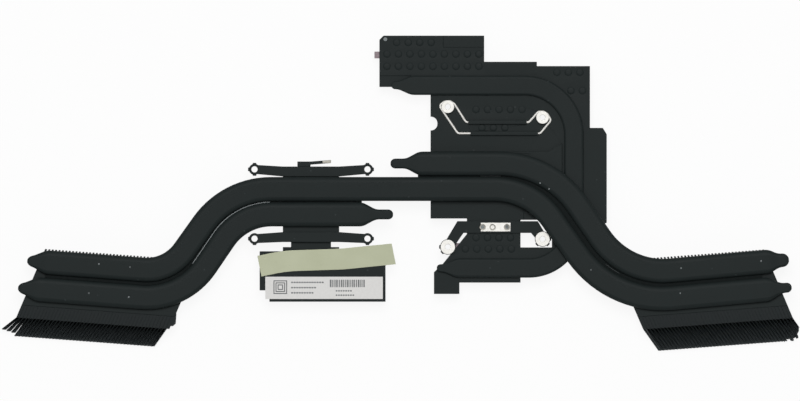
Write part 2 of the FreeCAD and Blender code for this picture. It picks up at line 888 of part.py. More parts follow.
def ring_end(body, name, spot, level, thick, wide, bore, turns):
    """A round eye with small lugs round it and a screw hole through it."""
    eye = new_sketch(body, f"{name}_eye_outline", height=level)
    draw_circle(eye, spot[0], spot[1], wide)
    pad(body, f"{name}_eye", eye, thick)
    half_lug = cell("lug_width") / 2
    root = (wide + bore) / 4
    reach = wide / 2 + cell("lug_reach")
    for number, (step_x, step_y) in enumerate(turns):
        lug = new_sketch(body, f"{name}_lug_outline_{number}", height=level)
        side_x = step_y * half_lug
        side_y = -step_x * half_lug
        near_x = spot[0] + step_x * root
        near_y = spot[1] + step_y * root
        far_x = spot[0] + step_x * reach
        far_y = spot[1] + step_y * reach
        draw_path(lug, [
            (near_x - side_x, near_y - side_y),
            (far_x - side_x, far_y - side_y),
            (far_x + side_x, far_y + side_y),
            (near_x + side_x, near_y + side_y),
        ])
        pad(body, f"{name}_lug_{number}", lug, thick)
    hole = new_sketch(body, f"{name}_hole_outline", height=level + thick)
    draw_circle(hole, spot[0], spot[1], bore)
    pocket(body, f"{name}_hole", hole, thick)


def cpu_arm(label, inner, outer, hole_line, facing, lugs):
    """A spring arm across the processor plate, drawn in at both ends to a screw eye."""
    half_hole = cell("cpu_hole_across") / 2
    half_tip = cell("arm_tip_width") / 2
    body = plate(label, [
        (-cpu_half, inner),
        (cpu_half, inner),
        (half_hole, hole_line - facing * half_tip),
        (half_hole, hole_line + facing * half_tip),
        (cpu_half, outer),
        (-cpu_half, outer),
        (-half_hole, hole_line + facing * half_tip),
        (-half_hole, hole_line - facing * half_tip),
    ], seat, cell("arm_thick"))
    for name, side in (("left", -1), ("right", 1)):
        spot = (side * half_hole, hole_line)
        ring_end(body, name, spot, seat, cell("arm_thick"), cell("ring_wide"), cell("cpu_hole_bore"),
                 [(side, 0)] + lugs)
    return body


def cpu_rear_arm():
    return cpu_arm("cpu_rear_arm", arm_rear, plate_rear, cell("cpu_hole_along") / 2, 1,
                   [(0, 1), (0, -1)])


def cpu_front_arm():
    inner = arm_front + cell("arm_width")
    return cpu_arm("cpu_front_arm", inner, arm_front, -cell("cpu_hole_along") / 2, -1, [(0, -1)])


def earth_finger():
    """A springy contact finger at the rear edge of the rear arm."""
    left = cell("finger_left")
    base_right = left + cell("finger_base")
    rear = plate_rear + cell("finger_stand")
    front = rear - cell("finger_width")
    rise = cell("finger_rise")
    tip = left + cell("finger_reach") + cell("finger_base")
    return plate("earth_finger", [
        (left, plate_rear),
        (base_right, plate_rear),
        (base_right, front),
        (tip, front + rise),
        (tip, rear + rise),
        (base_right, rear),
        (left, rear),
    ], seat, cell("finger_thick"))


vrm_top = plate_under + cell("tail_thick") + cell("vrm_thick")
label_front = cell("vrm_front") + cell("label_edge")
label_right = cell("vrm_right") - cell("label_edge")


def vrm_plate():
    leg = cell("vrm_left") + cell("vrm_leg_width")
    return plate("vrm_plate", [
        (cell("vrm_left"), cell("vrm_rear")),
        (cell("vrm_left"), cell("vrm_leg_front")),
        (leg, cell("vrm_leg_front")),
        (leg, cell("vrm_front")),
        (cell("vrm_right"), cell("vrm_front")),
        (cell("vrm_right"), cell("vrm_rear")),
    ], plate_under + cell("tail_thick"), cell("vrm_thick"))


def paper_label():
    left = label_right - cell("label_width")
    corners = box_corners(left, label_right, label_front, label_front + cell("label_depth"))
    return plate("paper_label", corners, vrm_top, cell("label_thick"))


def tape_strip():
    """A strip of tape that crosses the plate in a slight S behind the label and overhangs both its ends."""
    width = cell("tape_width")
    skew = cell("tape_skew")
    curve = cell("tape_curve")
    left = cell("vrm_left") - cell("tape_left_overhang")
    right = cell("vrm_right") + cell("tape_right_overhang")
    low = label_front + cell("label_depth") + cell("tape_gap") + width
    middle = low + cell("tape_left_fall")
    left_bend = left + cell("tape_left_bend")
    right_bend = left + cell("tape_right_bend")
    rise = middle + cell("tape_middle_rise")
    high = middle + cell("tape_right_rise")
    return plate("tape_strip", [
        (left, low),
        (left_bend, middle, curve),
        (right_bend, rise, curve),
        (right, high),
        (right + skew, high - width),
        (right_bend + skew, rise - width, curve),
        (left_bend + skew, middle - width, curve),
        (left + skew, low - width),
    ], vrm_top, cell("tape_thick"))


def vrm_pad():
    inset = cell("vrm_pad_inset")
    corners = box_corners(cell("vrm_left") + inset, cell("vrm_right") - inset,
                          cell("vrm_front") + cell("vrm_pad_front"), tail_front - cell("vrm_pad_gap"))
    return plate("vrm_pad", corners, vrm_top - cell("vrm_thick") - cell("pad_thick"), cell("pad_thick"))


# Graphics plate
gpu_x = cell("gpu_centre_across")
gpu_y = run + row / 2
copper_half = (cell("gpu_copper_width") / 2, cell("gpu_copper_depth") / 2)
copper_corners = box_corners(gpu_x - copper_half[0], gpu_x + copper_half[0],
                             gpu_y - copper_half[1], gpu_y + copper_half[1])
gpu_side = cell("thin_side_place") + cell("thin_width") / 2 + cell("gpu_margin")
gpu_right = gpu_side + cell("gpu_ear")
saddle_right = cell("thin_side_place") - cell("thin_width") / 2 - cell("saddle_gap")


def gpu_cold_plate():
    return plate("gpu_cold_plate", copper_corners, as_size(0), seat)


def gpu_outline():
    """The plate's outline, anticlockwise from its rear left corner."""
    cut = cell("gpu_corner")
    left = cell("gpu_left")
    rear = cell("gpu_rear")
    pipe_rear = cell("thin_rear_place")
    pipe_front = cell("thin_front_place")
    tail = pipe_rear - cell("gpu_tail_drop")
    notch = cell("gpu_waist_notch")
    notch_place = cell("gpu_waist_notch_place")
    waist = cell("gpu_waist")
    notch_round = notch - cell("gpu_waist_notch_rim")
    inset = cell("gpu_pipe_inset")
    block_right = cell("gpu_neck_right")
    tab_left = cell("gpu_tab_left")
    side = cell("thin_side_place")
    return [
        (left + cut, rear),
        (left, rear - cut),
        (left, tail),
        (cell("thin_rear_start") - cell("taper_length"), tail),
        (cell("thin_rear_start"), pipe_rear - inset),
        (waist, pipe_rear - inset),
        (waist, notch_place + notch),
        (waist + notch, notch_place + notch, notch_round),
        (waist + notch, notch_place - notch, notch_round),
        (waist, notch_place - notch),
        (waist, cell("gpu_neck_rear")),
        (cell("gpu_neck_left"), cell("gpu_neck_rear")),
        (cell("gpu_neck_left"), cell("gpu_block_rear")),
        (tab_left + cell("gpu_tab_cut"), pipe_front + cell("gpu_tab_rise")),
        (tab_left, pipe_front - cell("gpu_tab_drop")),
        (tab_left, cell("gpu_tab_front")),
        (cell("gpu_tab_right"), cell("gpu_tab_front")),
        (cell("gpu_tab_right"), cell("gpu_block_front")),
        (block_right, cell("gpu_block_front")),
        (block_right, pipe_front - inset),
        (side - cell("gpu_bend_cut"), pipe_front),
        (side + cell("thin_width") / 2, pipe_front + cell("gpu_bend_rise")),
        (gpu_right, pipe_front + cell("gpu_ear_front")),
        (gpu_right, cell("gpu_ear_place") - cell("gpu_ear_cut_length")),
        (gpu_right - cell("gpu_ear_cut"), cell("gpu_ear_place")),
        (gpu_side, cell("gpu_ear_place")),
        (gpu_side, cell("gpu_step_along") - cell("gpu_notch_step")),
        (cell("gpu_notch_across"), cell("gpu_step_along") - cell("gpu_notch_step")),
        (cell("gpu_notch_across"), cell("gpu_step_along")),
        (cell("gpu_step_across"), cell("gpu_step_along")),
        (cell("gpu_step_across"), rear),
    ]


ridge_high = cell("wire_wide") + cell("wire_clear") + cell("ridge_roof")
left_rear_bush = (cell("bush_left"), cell("bush_left_rear"))
right_rear_bush = (cell("bush_right"), cell("bush_right_rear"))
left_front_bush = (cell("bush_left"), cell("bush_left_front"))
right_front_bush = (cell("bush_right"), cell("bush_right_front"))
ridges = [
    ("rear", cell("wire_rear_line"),
     cell("bush_left") + cell("rear_ridge_left"), cell("bush_right") - cell("rear_ridge_right")),
    ("front", cell("wire_front_line"),
     cell("bush_left") + cell("front_ridge_left"), cell("bush_right") - cell("front_ridge_right")),
]


def bump_row(body, name, left, along, count):
    """A row of low bumps pressed up out of the plate."""
    sketch = new_sketch(body, f"{name}_outline", height=gpu_top)
    draw_path(sketch, hexagon((left, along), cell("bump_wide")))
    bump = pad(body, name, sketch, cell("bump_high"))
    bind(bump, "TaperAngle", -cell("bump_slope"))
    line = body.newObject("PartDesign::LinearPattern", f"{body.Label}_{name}_row")
    line.Originals = [bump]
    line.Direction = (sketch, ["H_Axis"])
    bind(line, "Length", cell("bump_pitch") * (count - 1))
    line.Occurrences = count
    body.Tip = line
    doc.recompute()


def gpu_base_plate():
    """The pressed plate that carries the graphics cold plate, its pipes, springs and bumps."""
    body = plate("gpu_base_plate", gpu_outline(), gpu_under, cell("gpu_plate_thick"))
    saddle_front = run - half_pipe
    saddle_rear = gpu_run + half_pipe
    saddle = new_sketch(body, "saddle_outline", height=gpu_top)
    draw_path(saddle, [
        (cell("gpu_waist"), saddle_front),
        (saddle_right, saddle_front),
        (saddle_right, saddle_rear + cell("saddle_wing_rise")),
        (saddle_right - cell("saddle_wing"), saddle_rear),
        (cell("gpu_waist"), saddle_rear),
    ])
    pad(body, "saddle", saddle, cell("thin_thick"))
    sink = new_sketch(body, "sink_outline", height=gpu_top)
    draw_path(sink, box_corners(cell("gpu_sink_left"), saddle_right, cell("gpu_window_rear"), saddle_front))
    pocket(body, "sink", sink, cell("gpu_sink"))
    left = cell("gpu_left")
    rear = cell("gpu_rear")
    pipe_rear = cell("thin_rear_place")
    fold = new_sketch(body, "fold_outline", height=gpu_top)
    draw_path(fold, box_corners(cell("gpu_fold_left"), cell("gpu_step_across"),
                                rear - cell("gpu_fold_depth"), rear))
    pad(body, "fold", fold, cell("gpu_fold_high"))
    tail = new_sketch(body, "tail_outline", height=gpu_top)
    draw_path(tail, box_corners(left, cell("thin_rear_start"), pipe_rear - cell("thin_width") / 2,
                                pipe_rear + cell("thin_width") / 2))
    pocket(body, "tail", tail, cell("gpu_crease"))
    half_ridge = cell("ridge_width") / 2
    half_slot = (cell("wire_wide") + cell("wire_clear")) / 2
    margin = cell("cut_margin")
    for name, line, start, end in ridges:
        ridge = new_sketch(body, f"{name}_ridge_outline", height=gpu_top)
        draw_path(ridge, box_corners(start, end, line - half_ridge, line + half_ridge))
        pad(body, f"{name}_ridge", ridge, ridge_high)
        slot = new_sketch(body, f"{name}_slot_outline", role="YZ_Plane", height=end + margin)
        draw_path(slot, box_corners(line - half_slot, line + half_slot, gpu_top, gpu_top + 2 * half_slot))
        pocket(body, f"{name}_slot", slot, end - start + 2 * margin)
    openings = new_sketch(body, "openings", height=seat)
    draw_path(openings, copper_corners)
    pocket(body, "copper_opening", openings, seat)
    window = new_sketch(body, "window_outline", height=gpu_top)
    draw_path(window, box_corners(cell("gpu_neck_right"), cell("gpu_window_right"),
                                  cell("gpu_window_front"), cell("gpu_window_rear")))
    pocket(body, "window", window, cell("gpu_plate_thick"))
    bush_holes = new_sketch(body, "bush_holes_outline", height=gpu_top)
    for spot in (left_rear_bush, right_rear_bush):
        draw_circle(bush_holes, spot[0], spot[1], cell("bush_neck") + 2 * cell("bush_clear"))
    pocket(body, "bush_holes", bush_holes, cell("gpu_plate_thick"))
    notch = cell("gpu_notch_across")
    neck = cell("gpu_neck_left")
    block = cell("gpu_block_rear")
    bush = cell("bush_left")
    between_ridges = (ridges[0][1] + ridges[1][1]) / 2
    row_left = left + cell("rear_bumps_inset")
    bump_row(body, "corner_bumps", left + cell("corner_bumps_inset"), rear - cell("corner_bumps_edge"), 4)
    bump_row(body, "rear_bumps", row_left, rear - cell("rear_bumps_edge"), 9)
    bump_row(body, "middle_bumps", row_left, rear - cell("middle_bumps_edge"), 9)
    bump_row(body, "side_bumps", notch + cell("side_bumps_inset"), pipe_rear + cell("side_bumps_offset"), 3)
    bump_row(body, "centre_bumps", bush + cell("centre_bumps_inset"),
             cell("wire_rear_line") + cell("centre_bumps_offset"), 5)
    bump_row(body, "block_bumps", neck + cell("block_bumps_inset"), block - cell("block_bumps_edge"), 4)
    bump_row(body, "front_bumps", neck + cell("front_bumps_inset"), block - cell("front_bumps_edge"), 5)
    bump_row(body, "ridge_bumps", bush + cell("ridge_bumps_inset"), between_ridges, 3)
    bump_row(body, "edge_bumps", notch + cell("edge_bumps_inset"), pipe_rear + cell("edge_bumps_offset"), 2)
    return body


def wire_hook(spot, side, lean):
    """Four corners of the wire's hook round the rear of a bushing, from its inner to its outer end."""
    behind = (cell("bush_neck") + cell("wire_wide")) / 2 + cell("bush_clear")
    rise = cell("hook_rise")
    corners = []
    for along, away in (
        (-side * cell("hook_exit"), rise),
        (-side * cell("hook_back"), behind),
        (side * cell("hook_back"), behind),
        (side * cell("hook_reach"), rise),
    ):
        corners.append((
            spot[0] + along * cosine(lean) - away * sine(lean),
            spot[1] + along * sine(lean) + away * cosine(lean),
            cell("wire_bend"),
        ))
    return corners


def gpu_wire_spring():
    """One closed loop of spring wire that runs through both ridges and hooks behind both bushings."""
    body = new_body("gpu_wire_spring")
    level = gpu_top + cell("wire_wide") / 2
    bend = cell("wire_bend")
    rear = cell("wire_rear_line")
    front = cell("wire_front_line")
    middle = gpu_x
    left_hook = wire_hook(left_rear_bush, -1, cell("left_hook_lean"))
    right_hook = wire_hook(right_rear_bush, 1, -cell("right_hook_lean"))
    rear_left = ridges[0][2] - cell("wire_exit")
    rear_right = ridges[0][3] + cell("wire_exit")
    front_left = ridges[1][2] - cell("wire_front_exit")
    front_right = ridges[1][3] + cell("wire_exit")
    route = [
        (middle, rear),
        (rear_left, rear, bend),
        *left_hook,
        (front_left, front, bend),
        (front_right, front, bend),
        *reversed(right_hook),
        (rear_right, rear, bend),
    ]
    spine = new_sketch(body, "route", height=level)
    draw_path(spine, route)
    profile = new_sketch(body, "section", role="YZ_Plane", height=middle)
    draw_path(profile, hexagon((rear, level), cell("wire_wide")))
    sweep = body.newObject("PartDesign::AdditivePipe", "gpu_wire_spring_sweep")
    sweep.Profile = profile
    sweep.Spine = (spine, [f"Edge{i + 1}" for i in range(2 * len(route) - 1)])
    spine.Visibility = False
    return body


def bushing(body, name, spot, head_level, head_wide):
    """A flanged bushing with a screw bore; its neck goes down past the plate."""
    bottom = gpu_under - cell("bush_below")
    shank = new_sketch(body, f"{name}_neck_outline", height=bottom)
    draw_circle(shank, spot[0], spot[1], cell("bush_neck"))
    pad(body, f"{name}_neck", shank, head_level - bottom)
    head = new_sketch(body, f"{name}_head_outline", height=head_level)
    draw_circle(head, spot[0], spot[1], head_wide)
    pad(body, f"{name}_head", head, cell("bush_head_thick"))
    bore = new_sketch(body, f"{name}_bore_outline", height=head_level + cell("bush_head_thick"))
    draw_circle(bore, spot[0], spot[1], cell("bush_bore"))
    pocket(body, f"{name}_bore", bore, head_level + cell("bush_head_thick") - bottom)


def rear_bushings():
    body = new_body("rear_bushings")
    for name, spot in (("left", left_rear_bush), ("right", right_rear_bush)):
        bushing(body, name, spot, gpu_top + cell("wire_wide"), cell("rear_bush_head"))
    return body


def front_bushings():
    body = new_body("front_bushings")
    for name, spot in (("left", left_front_bush), ("right", right_front_bush)):
        bushing(body, name, spot, leaf_top, cell("front_bush_head"))
    return body


leaf_top = gpu_top + cell("leaf_thick")
leaf_rear = cell("gpu_neck_rear") - cell("leaf_inset")
leaf_front = leaf_rear - cell("leaf_width")


def gpu_leaf_spring():
    """A flat spring across the plate's neck, with an arm down to each front bushing."""
    half_arm = cell("leaf_arm_width") / 2
    step_x = half_arm * cosine(cell("leaf_lean"))
    step_y = half_arm * sine(cell("leaf_lean"))
    left = left_front_bush
    right = right_front_bush
    body = plate("gpu_leaf_spring", [
        (cell("gpu_neck_left") - cell("leaf_left_reach"), leaf_rear),
        (left[0] - step_x, left[1] + step_y),
        (left[0] + step_x, left[1] - step_y),
        (cell("gpu_neck_left") - cell("leaf_left_inner"), leaf_front),
        (cell("gpu_neck_right") + cell("leaf_right_inner"), leaf_front),
        (right[0] - step_x, right[1] - step_y),
        (right[0] + step_x, right[1] + step_y),
        (cell("gpu_neck_right") + cell("leaf_right_reach"), leaf_rear),
    ], gpu_top, cell("leaf_thick"))
    ring = cell("front_bush_head") + 2 * cell("leaf_ring_rim")
    slant = math.sqrt(0.5)
    for name, spot, outward in (("left", left, -1), ("right", right, 1)):
        lugs = [(-slant, -slant), (slant, -slant), (outward, 0)]
        ring_end(body, name, spot, gpu_top, cell("leaf_thick"), ring,
                 cell("bush_neck") + 2 * cell("bush_clear"), lugs)
    return body


strip_middle = (leaf_rear + leaf_front) / 2


def spring_strip():
    """The bright strip that holds the leaf spring down on the neck."""
    left = cell("strip_left")
    half = cell("strip_width") / 2
    corners = box_corners(left, left + cell("strip_length"), strip_middle - half, strip_middle + half)
    return plate("spring_strip", corners, leaf_top, cell("strip_thick"))


def disc_group(label, spots, bottom, wide, high):
    """A group of like round discs."""
    body = new_body(label)
    for number, spot in enumerate(spots):
        outline = new_sketch(body, f"outline_{number}", height=bottom)
        draw_circle(outline, spot[0], spot[1], wide)
        pad(body, f"disc_{number}", outline, high)
    return body


def strip_rivets():
    left = cell("strip_left")
    steps = (cell("first_rivet"), cell("second_rivet"), cell("third_rivet"))
    spots = [(left + step, strip_middle) for step in steps]
    return disc_group("strip_rivets", spots, leaf_top + cell("strip_thick"), cell("rivet_wide"),
                      cell("rivet_high"))


def corner_rivet():
    spot = (cell("gpu_left") + cell("corner_rivet_inset"), cell("gpu_rear") - cell("corner_rivet_edge"))
    return disc_group("corner_rivet", [spot], gpu_top, cell("corner_rivet_wide"), cell("rivet_high"))


def gpu_rear_pad():
    left = cell("gpu_left") - cell("pad_overhang")
    right = cell("gpu_step_across") - cell("rear_pad_right")
    rear = cell("gpu_rear") - cell("rear_pad_edge")
    corners = box_corners(left, right, rear - cell("rear_pad_depth"), rear)
    return plate("gpu_rear_pad", corners, gpu_under - cell("pad_thick"), cell("pad_thick"))


def gpu_front_pad():
    shift = cell("front_pad_shift")
    rear = cell("gpu_block_rear") - cell("front_pad_edge")
    corners = box_corners(cell("gpu_neck_left") - shift, cell("gpu_neck_right") - shift,
                          rear - cell("front_pad_depth"), rear)
    return plate("gpu_front_pad", corners, gpu_under - cell("pad_thick"), cell("pad_thick"))


left_stack = (
    1,
    stack_corner(left_foot, 1, cell("left_stack_reach"), half_pipe + cell("left_stack_margin")),
    cell("left_fin_count"), cell("left_front_length"), cell("splayed_fins"),
)
right_stack = (
    -1,
    stack_corner(right_foot, -1, cell("right_stack_reach"),
                 stack_row + half_pipe + cell("right_stack_margin")),
    cell("right_fin_count"), cell("right_front_length"), as_size(0),
)

parts = [
    cross_heat_pipe(),
    cpu_heat_pipe(),
    gpu_heat_pipe(),
    memory_heat_pipe(),
    left_fin_stack(),
    right_fin_stack(),
    stack_cover("left_stack_cover", left_stack),
    stack_cover("right_stack_cover", right_stack),
    cpu_cold_plate(),
    cpu_base_plate(),
    cpu_rear_arm(),
    cpu_front_arm(),
    earth_finger(),
    vrm_plate(),
    paper_label(),
    tape_strip(),
    vrm_pad(),
    gpu_cold_plate(),
    gpu_base_plate(),
    gpu_wire_spring(),
    rear_bushings(),
    front_bushings(),
    gpu_leaf_spring(),
    spring_strip(),
    strip_rivets(),
    corner_rivet(),
    gpu_rear_pad(),
    gpu_front_pad(),
]

doc.recompute()
for item in doc.Objects:
    if "Invalid" in item.State or "Error" in item.State:
        raise RuntimeError(f"{item.Name} failed: {item.State}")

os.makedirs("parts", exist_ok=True)
for part in parts:
    if part.Shape.isNull() or not part.Shape.isValid():
        raise RuntimeError(f"{part.Label} has no valid shape")
    part.Shape.exportStep(f"parts/{part.Label}.step")
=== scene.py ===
import math

import bmesh
import bpy
from bpy.props import FloatProperty, FloatVectorProperty, IntProperty, PointerProperty
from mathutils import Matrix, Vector


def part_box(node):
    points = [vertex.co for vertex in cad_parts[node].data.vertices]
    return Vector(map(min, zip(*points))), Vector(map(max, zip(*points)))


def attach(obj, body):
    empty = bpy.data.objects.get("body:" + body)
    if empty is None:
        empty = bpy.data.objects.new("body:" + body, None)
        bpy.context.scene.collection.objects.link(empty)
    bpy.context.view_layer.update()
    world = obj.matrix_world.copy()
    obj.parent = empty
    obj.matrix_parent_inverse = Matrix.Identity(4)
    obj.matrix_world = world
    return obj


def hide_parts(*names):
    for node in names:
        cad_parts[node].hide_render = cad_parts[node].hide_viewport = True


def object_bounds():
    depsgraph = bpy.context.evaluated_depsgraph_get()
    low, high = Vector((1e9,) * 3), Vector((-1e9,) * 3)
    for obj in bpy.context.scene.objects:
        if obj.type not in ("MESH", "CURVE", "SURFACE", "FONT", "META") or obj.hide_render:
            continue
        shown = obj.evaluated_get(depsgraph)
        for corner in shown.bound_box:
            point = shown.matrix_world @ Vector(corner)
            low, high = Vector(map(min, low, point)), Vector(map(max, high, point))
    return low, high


bl_info = {
    "name": "Laptop Heatsink",
    "version": (1, 0, 0),
    "blender": (4, 5, 0),
    "location": "View3D > Sidebar > Heatsink",
    "description": "Builds the looks of a laptop heatsink round its CAD solids",
    "category": "Object",
}

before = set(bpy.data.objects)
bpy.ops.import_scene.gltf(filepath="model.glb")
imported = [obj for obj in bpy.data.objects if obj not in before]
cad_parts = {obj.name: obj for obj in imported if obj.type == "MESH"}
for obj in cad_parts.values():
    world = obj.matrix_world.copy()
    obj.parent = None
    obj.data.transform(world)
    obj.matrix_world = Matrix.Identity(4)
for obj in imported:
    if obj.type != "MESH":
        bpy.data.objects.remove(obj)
cad_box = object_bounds()

MM = 0.001
# Points nearer than this are merged, in metres
MERGE = 2e-6
# In degrees: triangles within the first angle are one flat face, edges past the second are sharp
FLAT_ANGLE = 0.6
SHARP_ANGLE = 30
# Turns a flat circle to face along X
FACING_X = (math.pi / 2, 0.0, math.pi / 2)

# Routes of the flattened pipes, in millimetres: corners, with the bend's radius as the third value
CROSS_ROUTE = (
    (-116.54, -25.63), (-62.39, -29.7, 20.2), (-36.5, 6.6, 36.5),
    (96.6, 6.6, 30.8), (132.55, -43.8, 46.0), (201.37, -37.54),
)
CPU_ROUTE = ((-120.57, -37.56), (-56.45, -42.38, 31.4), (-30.73, -4.6, 25.3), (22.9, -4.6))
GPU_ROUTE = ((47.5, 17.8), (104.77, 17.8, 42.0), (138.42, -31.02, 33.8), (201.56, -25.27))
MEMORY_ROUTE = ((44.0, 52.2), (115.7, 52.2, 21.7), (115.7, -28.2, 19.8), (64.0, -28.2))
# A nib's thickness as a share of its pipe's, and its sealed edge's as a share of its own
NIB_THICK = 0.75
SEAL_THICK = 0.55
# Rings of a nib's round nose, as shares of its length, and how many rings make a taper
NOSE_RINGS = (0.04, 0.12, 0.24, 0.4, 0.58, 0.78, 1.0)
TAPER_RINGS = 10
# Solder between two pipes, black with paint and coloured darker than the paint as painted shade in
# the gaps: its route and its width in millimetres
SOLDER_SEAMS = (
    (((-18.0, 1.0), (22.4, 1.0)), 1.1),
    (((-17.0, 1.8), (-34.1, 1.8, 31.7), (-53.9, -27.24)), 1.4),
    (((47.0, 12.2), (100.7, 12.2, 36.4), (135.5, -37.4, 39.9), (198.5, -31.67)), 2.8),
    (((-52.55, -25.97), (-61.1, -35.92, 25.8), (-117.0, -31.71)), 1.9),
)
# Thin grey lines low in the gaps between the pipes: their route, their width and their height above
# the pipes' undersides, in millimetres
GREY_GAP_LINES = (
    (((-17.5, 1.0), (-33.6, 1.0, 31.2), (-53.6, -27.7)), 2.2, -0.3),
    (((74.5, 12.3), (83.5, 12.3)), 0.3, 0.3),
    (((129.65, -26.46), (132.44, -28.73, 39.9), (135.55, -30.47)), 0.3, 0.3),
)
# How much longer the outermost right fins are at their tips, in millimetres, from the right
RAGGED_TIPS = (0.5, -0.4, 0.6, -0.3, 0.5, -0.5, 0.4)
# Heading of those fins' tips in the plan
TIP_HEADING = (0.578, -0.816)
# Bumps on the graphics plate, in millimetres: their pitch, and each row's first bump and count
BUMP_PITCH = 5.06
BUMP_ROWS = (
    (37.7, 71.1, 4), (33.4, 66.0, 9), (33.4, 60.6, 9), (108.2, 58.0, 3), (114.4, 49.9, 2),
    (72.6, 41.6, 5), (75.2, 33.55, 3), (72.6, -14.8, 4), (67.9, -19.8, 5),
)
# A bump's rings from its foot up, as shares of its width and of its height
BUMP_RINGS = ((0.93, 0.22), (0.84, 0.5), (0.74, 0.74), (0.6, 0.9), (0.35, 0.98), (0.12, 1.0))
# Rear bushings: place in millimetres, side that the wire's hook opens to, and its lean in degrees
LEFT_HOOK = (60.2, 42.8, -1, 6.0)
RIGHT_HOOK = (101.9, 38.1, 1, -34.0)
# The wire's two straight lines and its bends, in millimetres
WIRE_REAR = 36.0
WIRE_FRONT = 31.1
WIRE_BEND = 1.5
# Bright chips in the black paint: place in millimetres, node that carries it, and width
PAINT_CHIPS = (
    (-93.3, -26.4, "cross_heat_pipe", 0.7), (-79.6, -27.7, "cross_heat_pipe", 0.6),
    (-97.7, -39.2, "cpu_heat_pipe", 0.7), (-80.1, -40.9, "cpu_heat_pipe", 0.8),
    (162.8, -28.2, "gpu_heat_pipe", 0.7), (162.4, -39.2, "cross_heat_pipe", 0.6),
    (198.0, -25.1, "gpu_heat_pipe", 0.7), (100.8, 9.2, "gpu_heat_pipe", 0.7),
    (104.7, 6.6, "gpu_heat_pipe", 0.6), (123.2, -29.0, "cross_heat_pipe", 0.5),
)
FIRST_CHIP_SEED = 3
# Place that the camera looks at, in millimetres
VIEW_CENTRE = (39.16, 1.54, 3.0)
# Lamps: name, place from the part's middle, width in metres, and power in watts
LAMPS = (
    ("overhead softbox", Vector((0.0, 0.72, 2.3)), 1.1, 38.0),
    ("front fill", Vector((0.1, -0.8, 0.9)), 0.9, 1.0),
)


def linear(text):
    """A colour written as sRGB hex, in the linear values that Blender mixes."""
    parts = [int(text[i:i + 2], 16) / 255 for i in (1, 3, 5)]
    return tuple(p / 12.92 if p <= 0.04045 else ((p + 0.055) / 1.055) ** 2.4 for p in parts)


def length(name, description, default):
    """A length that a user may change; its default is in millimetres."""
    return FloatProperty(
        name=name, description=description, default=default * MM, min=0.0, unit="LENGTH")


def colour(name, description, default):
    """A colour that a user may change; its default is sRGB hex."""
    return FloatVectorProperty(
        name=name, description=description, subtype="COLOR", size=3,
        default=linear(default), min=0.0, max=1.0)


class HeatsinkSizes(bpy.types.PropertyGroup):
    """Sizes of what the scene adds to the solids."""

    pipe_width: length("Pipe width", "Width of a wide flattened pipe", 10.6)
    pipe_nib: length("Pipe nib", "Width of a wide pipe's sealed nib", 4.4)
    side_round: FloatProperty(
        name="Side roundness", default=1.55, min=1.0,
        description="Width of a pipe's rounded sides, as a share of its thickness")
    blunt_nib: length("Blunt nib", "Width of a nib that is pressed short and blunt", 5.2)
    wide_blunt_nib: length("Wide blunt nib", "Width of the graphics pipe's blunt nib", 6.0)
    thin_width: length("Narrow pipe width", "Width of the narrow flattened pipe", 8.5)
    thin_nib: length("Narrow nib", "Width of the narrow pipe's sealed nib", 3.4)
    taper: length("Taper", "Length over which a pipe draws in to its nib", 5.6)
    taper_ease: length(
        "Taper ease", "How far the taper's soft ends run past its straight middle", 1.6)
    ring_points: IntProperty(
        name="Ring points", description="Points round a pipe's section", default=30, min=14)
    fin_grow: length(
        "Fin foot growth", "Paint on a fin's foot, which closes the seam to the next foot", 0.12)
    tooth_grow: length("Tooth growth", "Paint that gathers on the fins' rear teeth", 0.3)
    finger_tip: length("Finger tip", "Length of the contact finger's bare tip", 3.7)
    bump_wide: length("Bump width", "Width of a pressed bump at its foot", 3.4)
    bump_high: length("Bump height", "Height of a pressed bump", 0.26)
    wire_width: length("Wire width", "Diameter of the spring wire", 0.9)
    sheet_round: length("Sheet rounding", "Rounding of pressed sheet edges", 0.16)
    paper_round: length("Paper rounding", "Rounding of the label's and the tape's edges", 0.03)
    pad_round: length("Pad rounding", "Rounding of the soft pads' edges", 0.22)
    tape_wave: length("Tape wave", "How far the tape stands off where it does not stick", 0.12)
    view_width: length("View width", "Width of the object plane that the camera sees", 352)


class HeatsinkColours(bpy.types.PropertyGroup):
    """Colours of the finishes."""

    paint: colour("Black paint", "Satin black paint", "#1B2121")
    paint_light: colour("Black paint, worn", "Paler clouds in the black paint", "#222828")
    dust: colour("Dust", "Fine dust on the black paint", "#454B4C")
    nickel: colour("Nickel", "Bright nickel plate", "#EEEDE9")
    copper: colour("Copper", "Ground bare copper", "#C8815F")
    paper: colour("Paper", "Matte label paper", "#E3E2E0")
    ink: colour("Ink", "Grey print on the label", "#4A4D4F")
    tape: colour("Tape", "Pale sage tape", "#C1C5AB")
    pad: colour("Pad", "Soft silicone pad", "#A09196")


def sizes():
    return bpy.context.scene.heatsink_sizes


def colours():
    return bpy.context.scene.heatsink_colours


# Materials

def add_node(material, kind, inputs=None, **settings):
    """Adds one shader node; an input is a value or another node's output."""
    tree = material.node_tree
    node = tree.nodes.new(kind)
    for name, value in settings.items():
        setattr(node, name, value)
    for name, value in (inputs or {}).items():
        if isinstance(value, bpy.types.NodeSocket):
            tree.links.new(value, node.inputs[name])
        else:
            node.inputs[name].default_value = value
    return node


def shader_of(material):
    return material.node_tree.nodes["Principled BSDF"]


def feed(material, socket, output):
    """Links a node's output to a socket of the material's shader."""
    material.node_tree.links.new(output, shader_of(material).inputs[socket])


def opaque(tint):
    return (*tint, 1.0)


def new_material(name, **constants):
    """A material with one Principled shader, its constant values on the shader's own sockets."""
    material = bpy.data.materials.new(name)
    material.use_nodes = True
    for socket, value in constants.items():
        shader_of(material).inputs[socket.replace("_", " ")].default_value = value
    return material


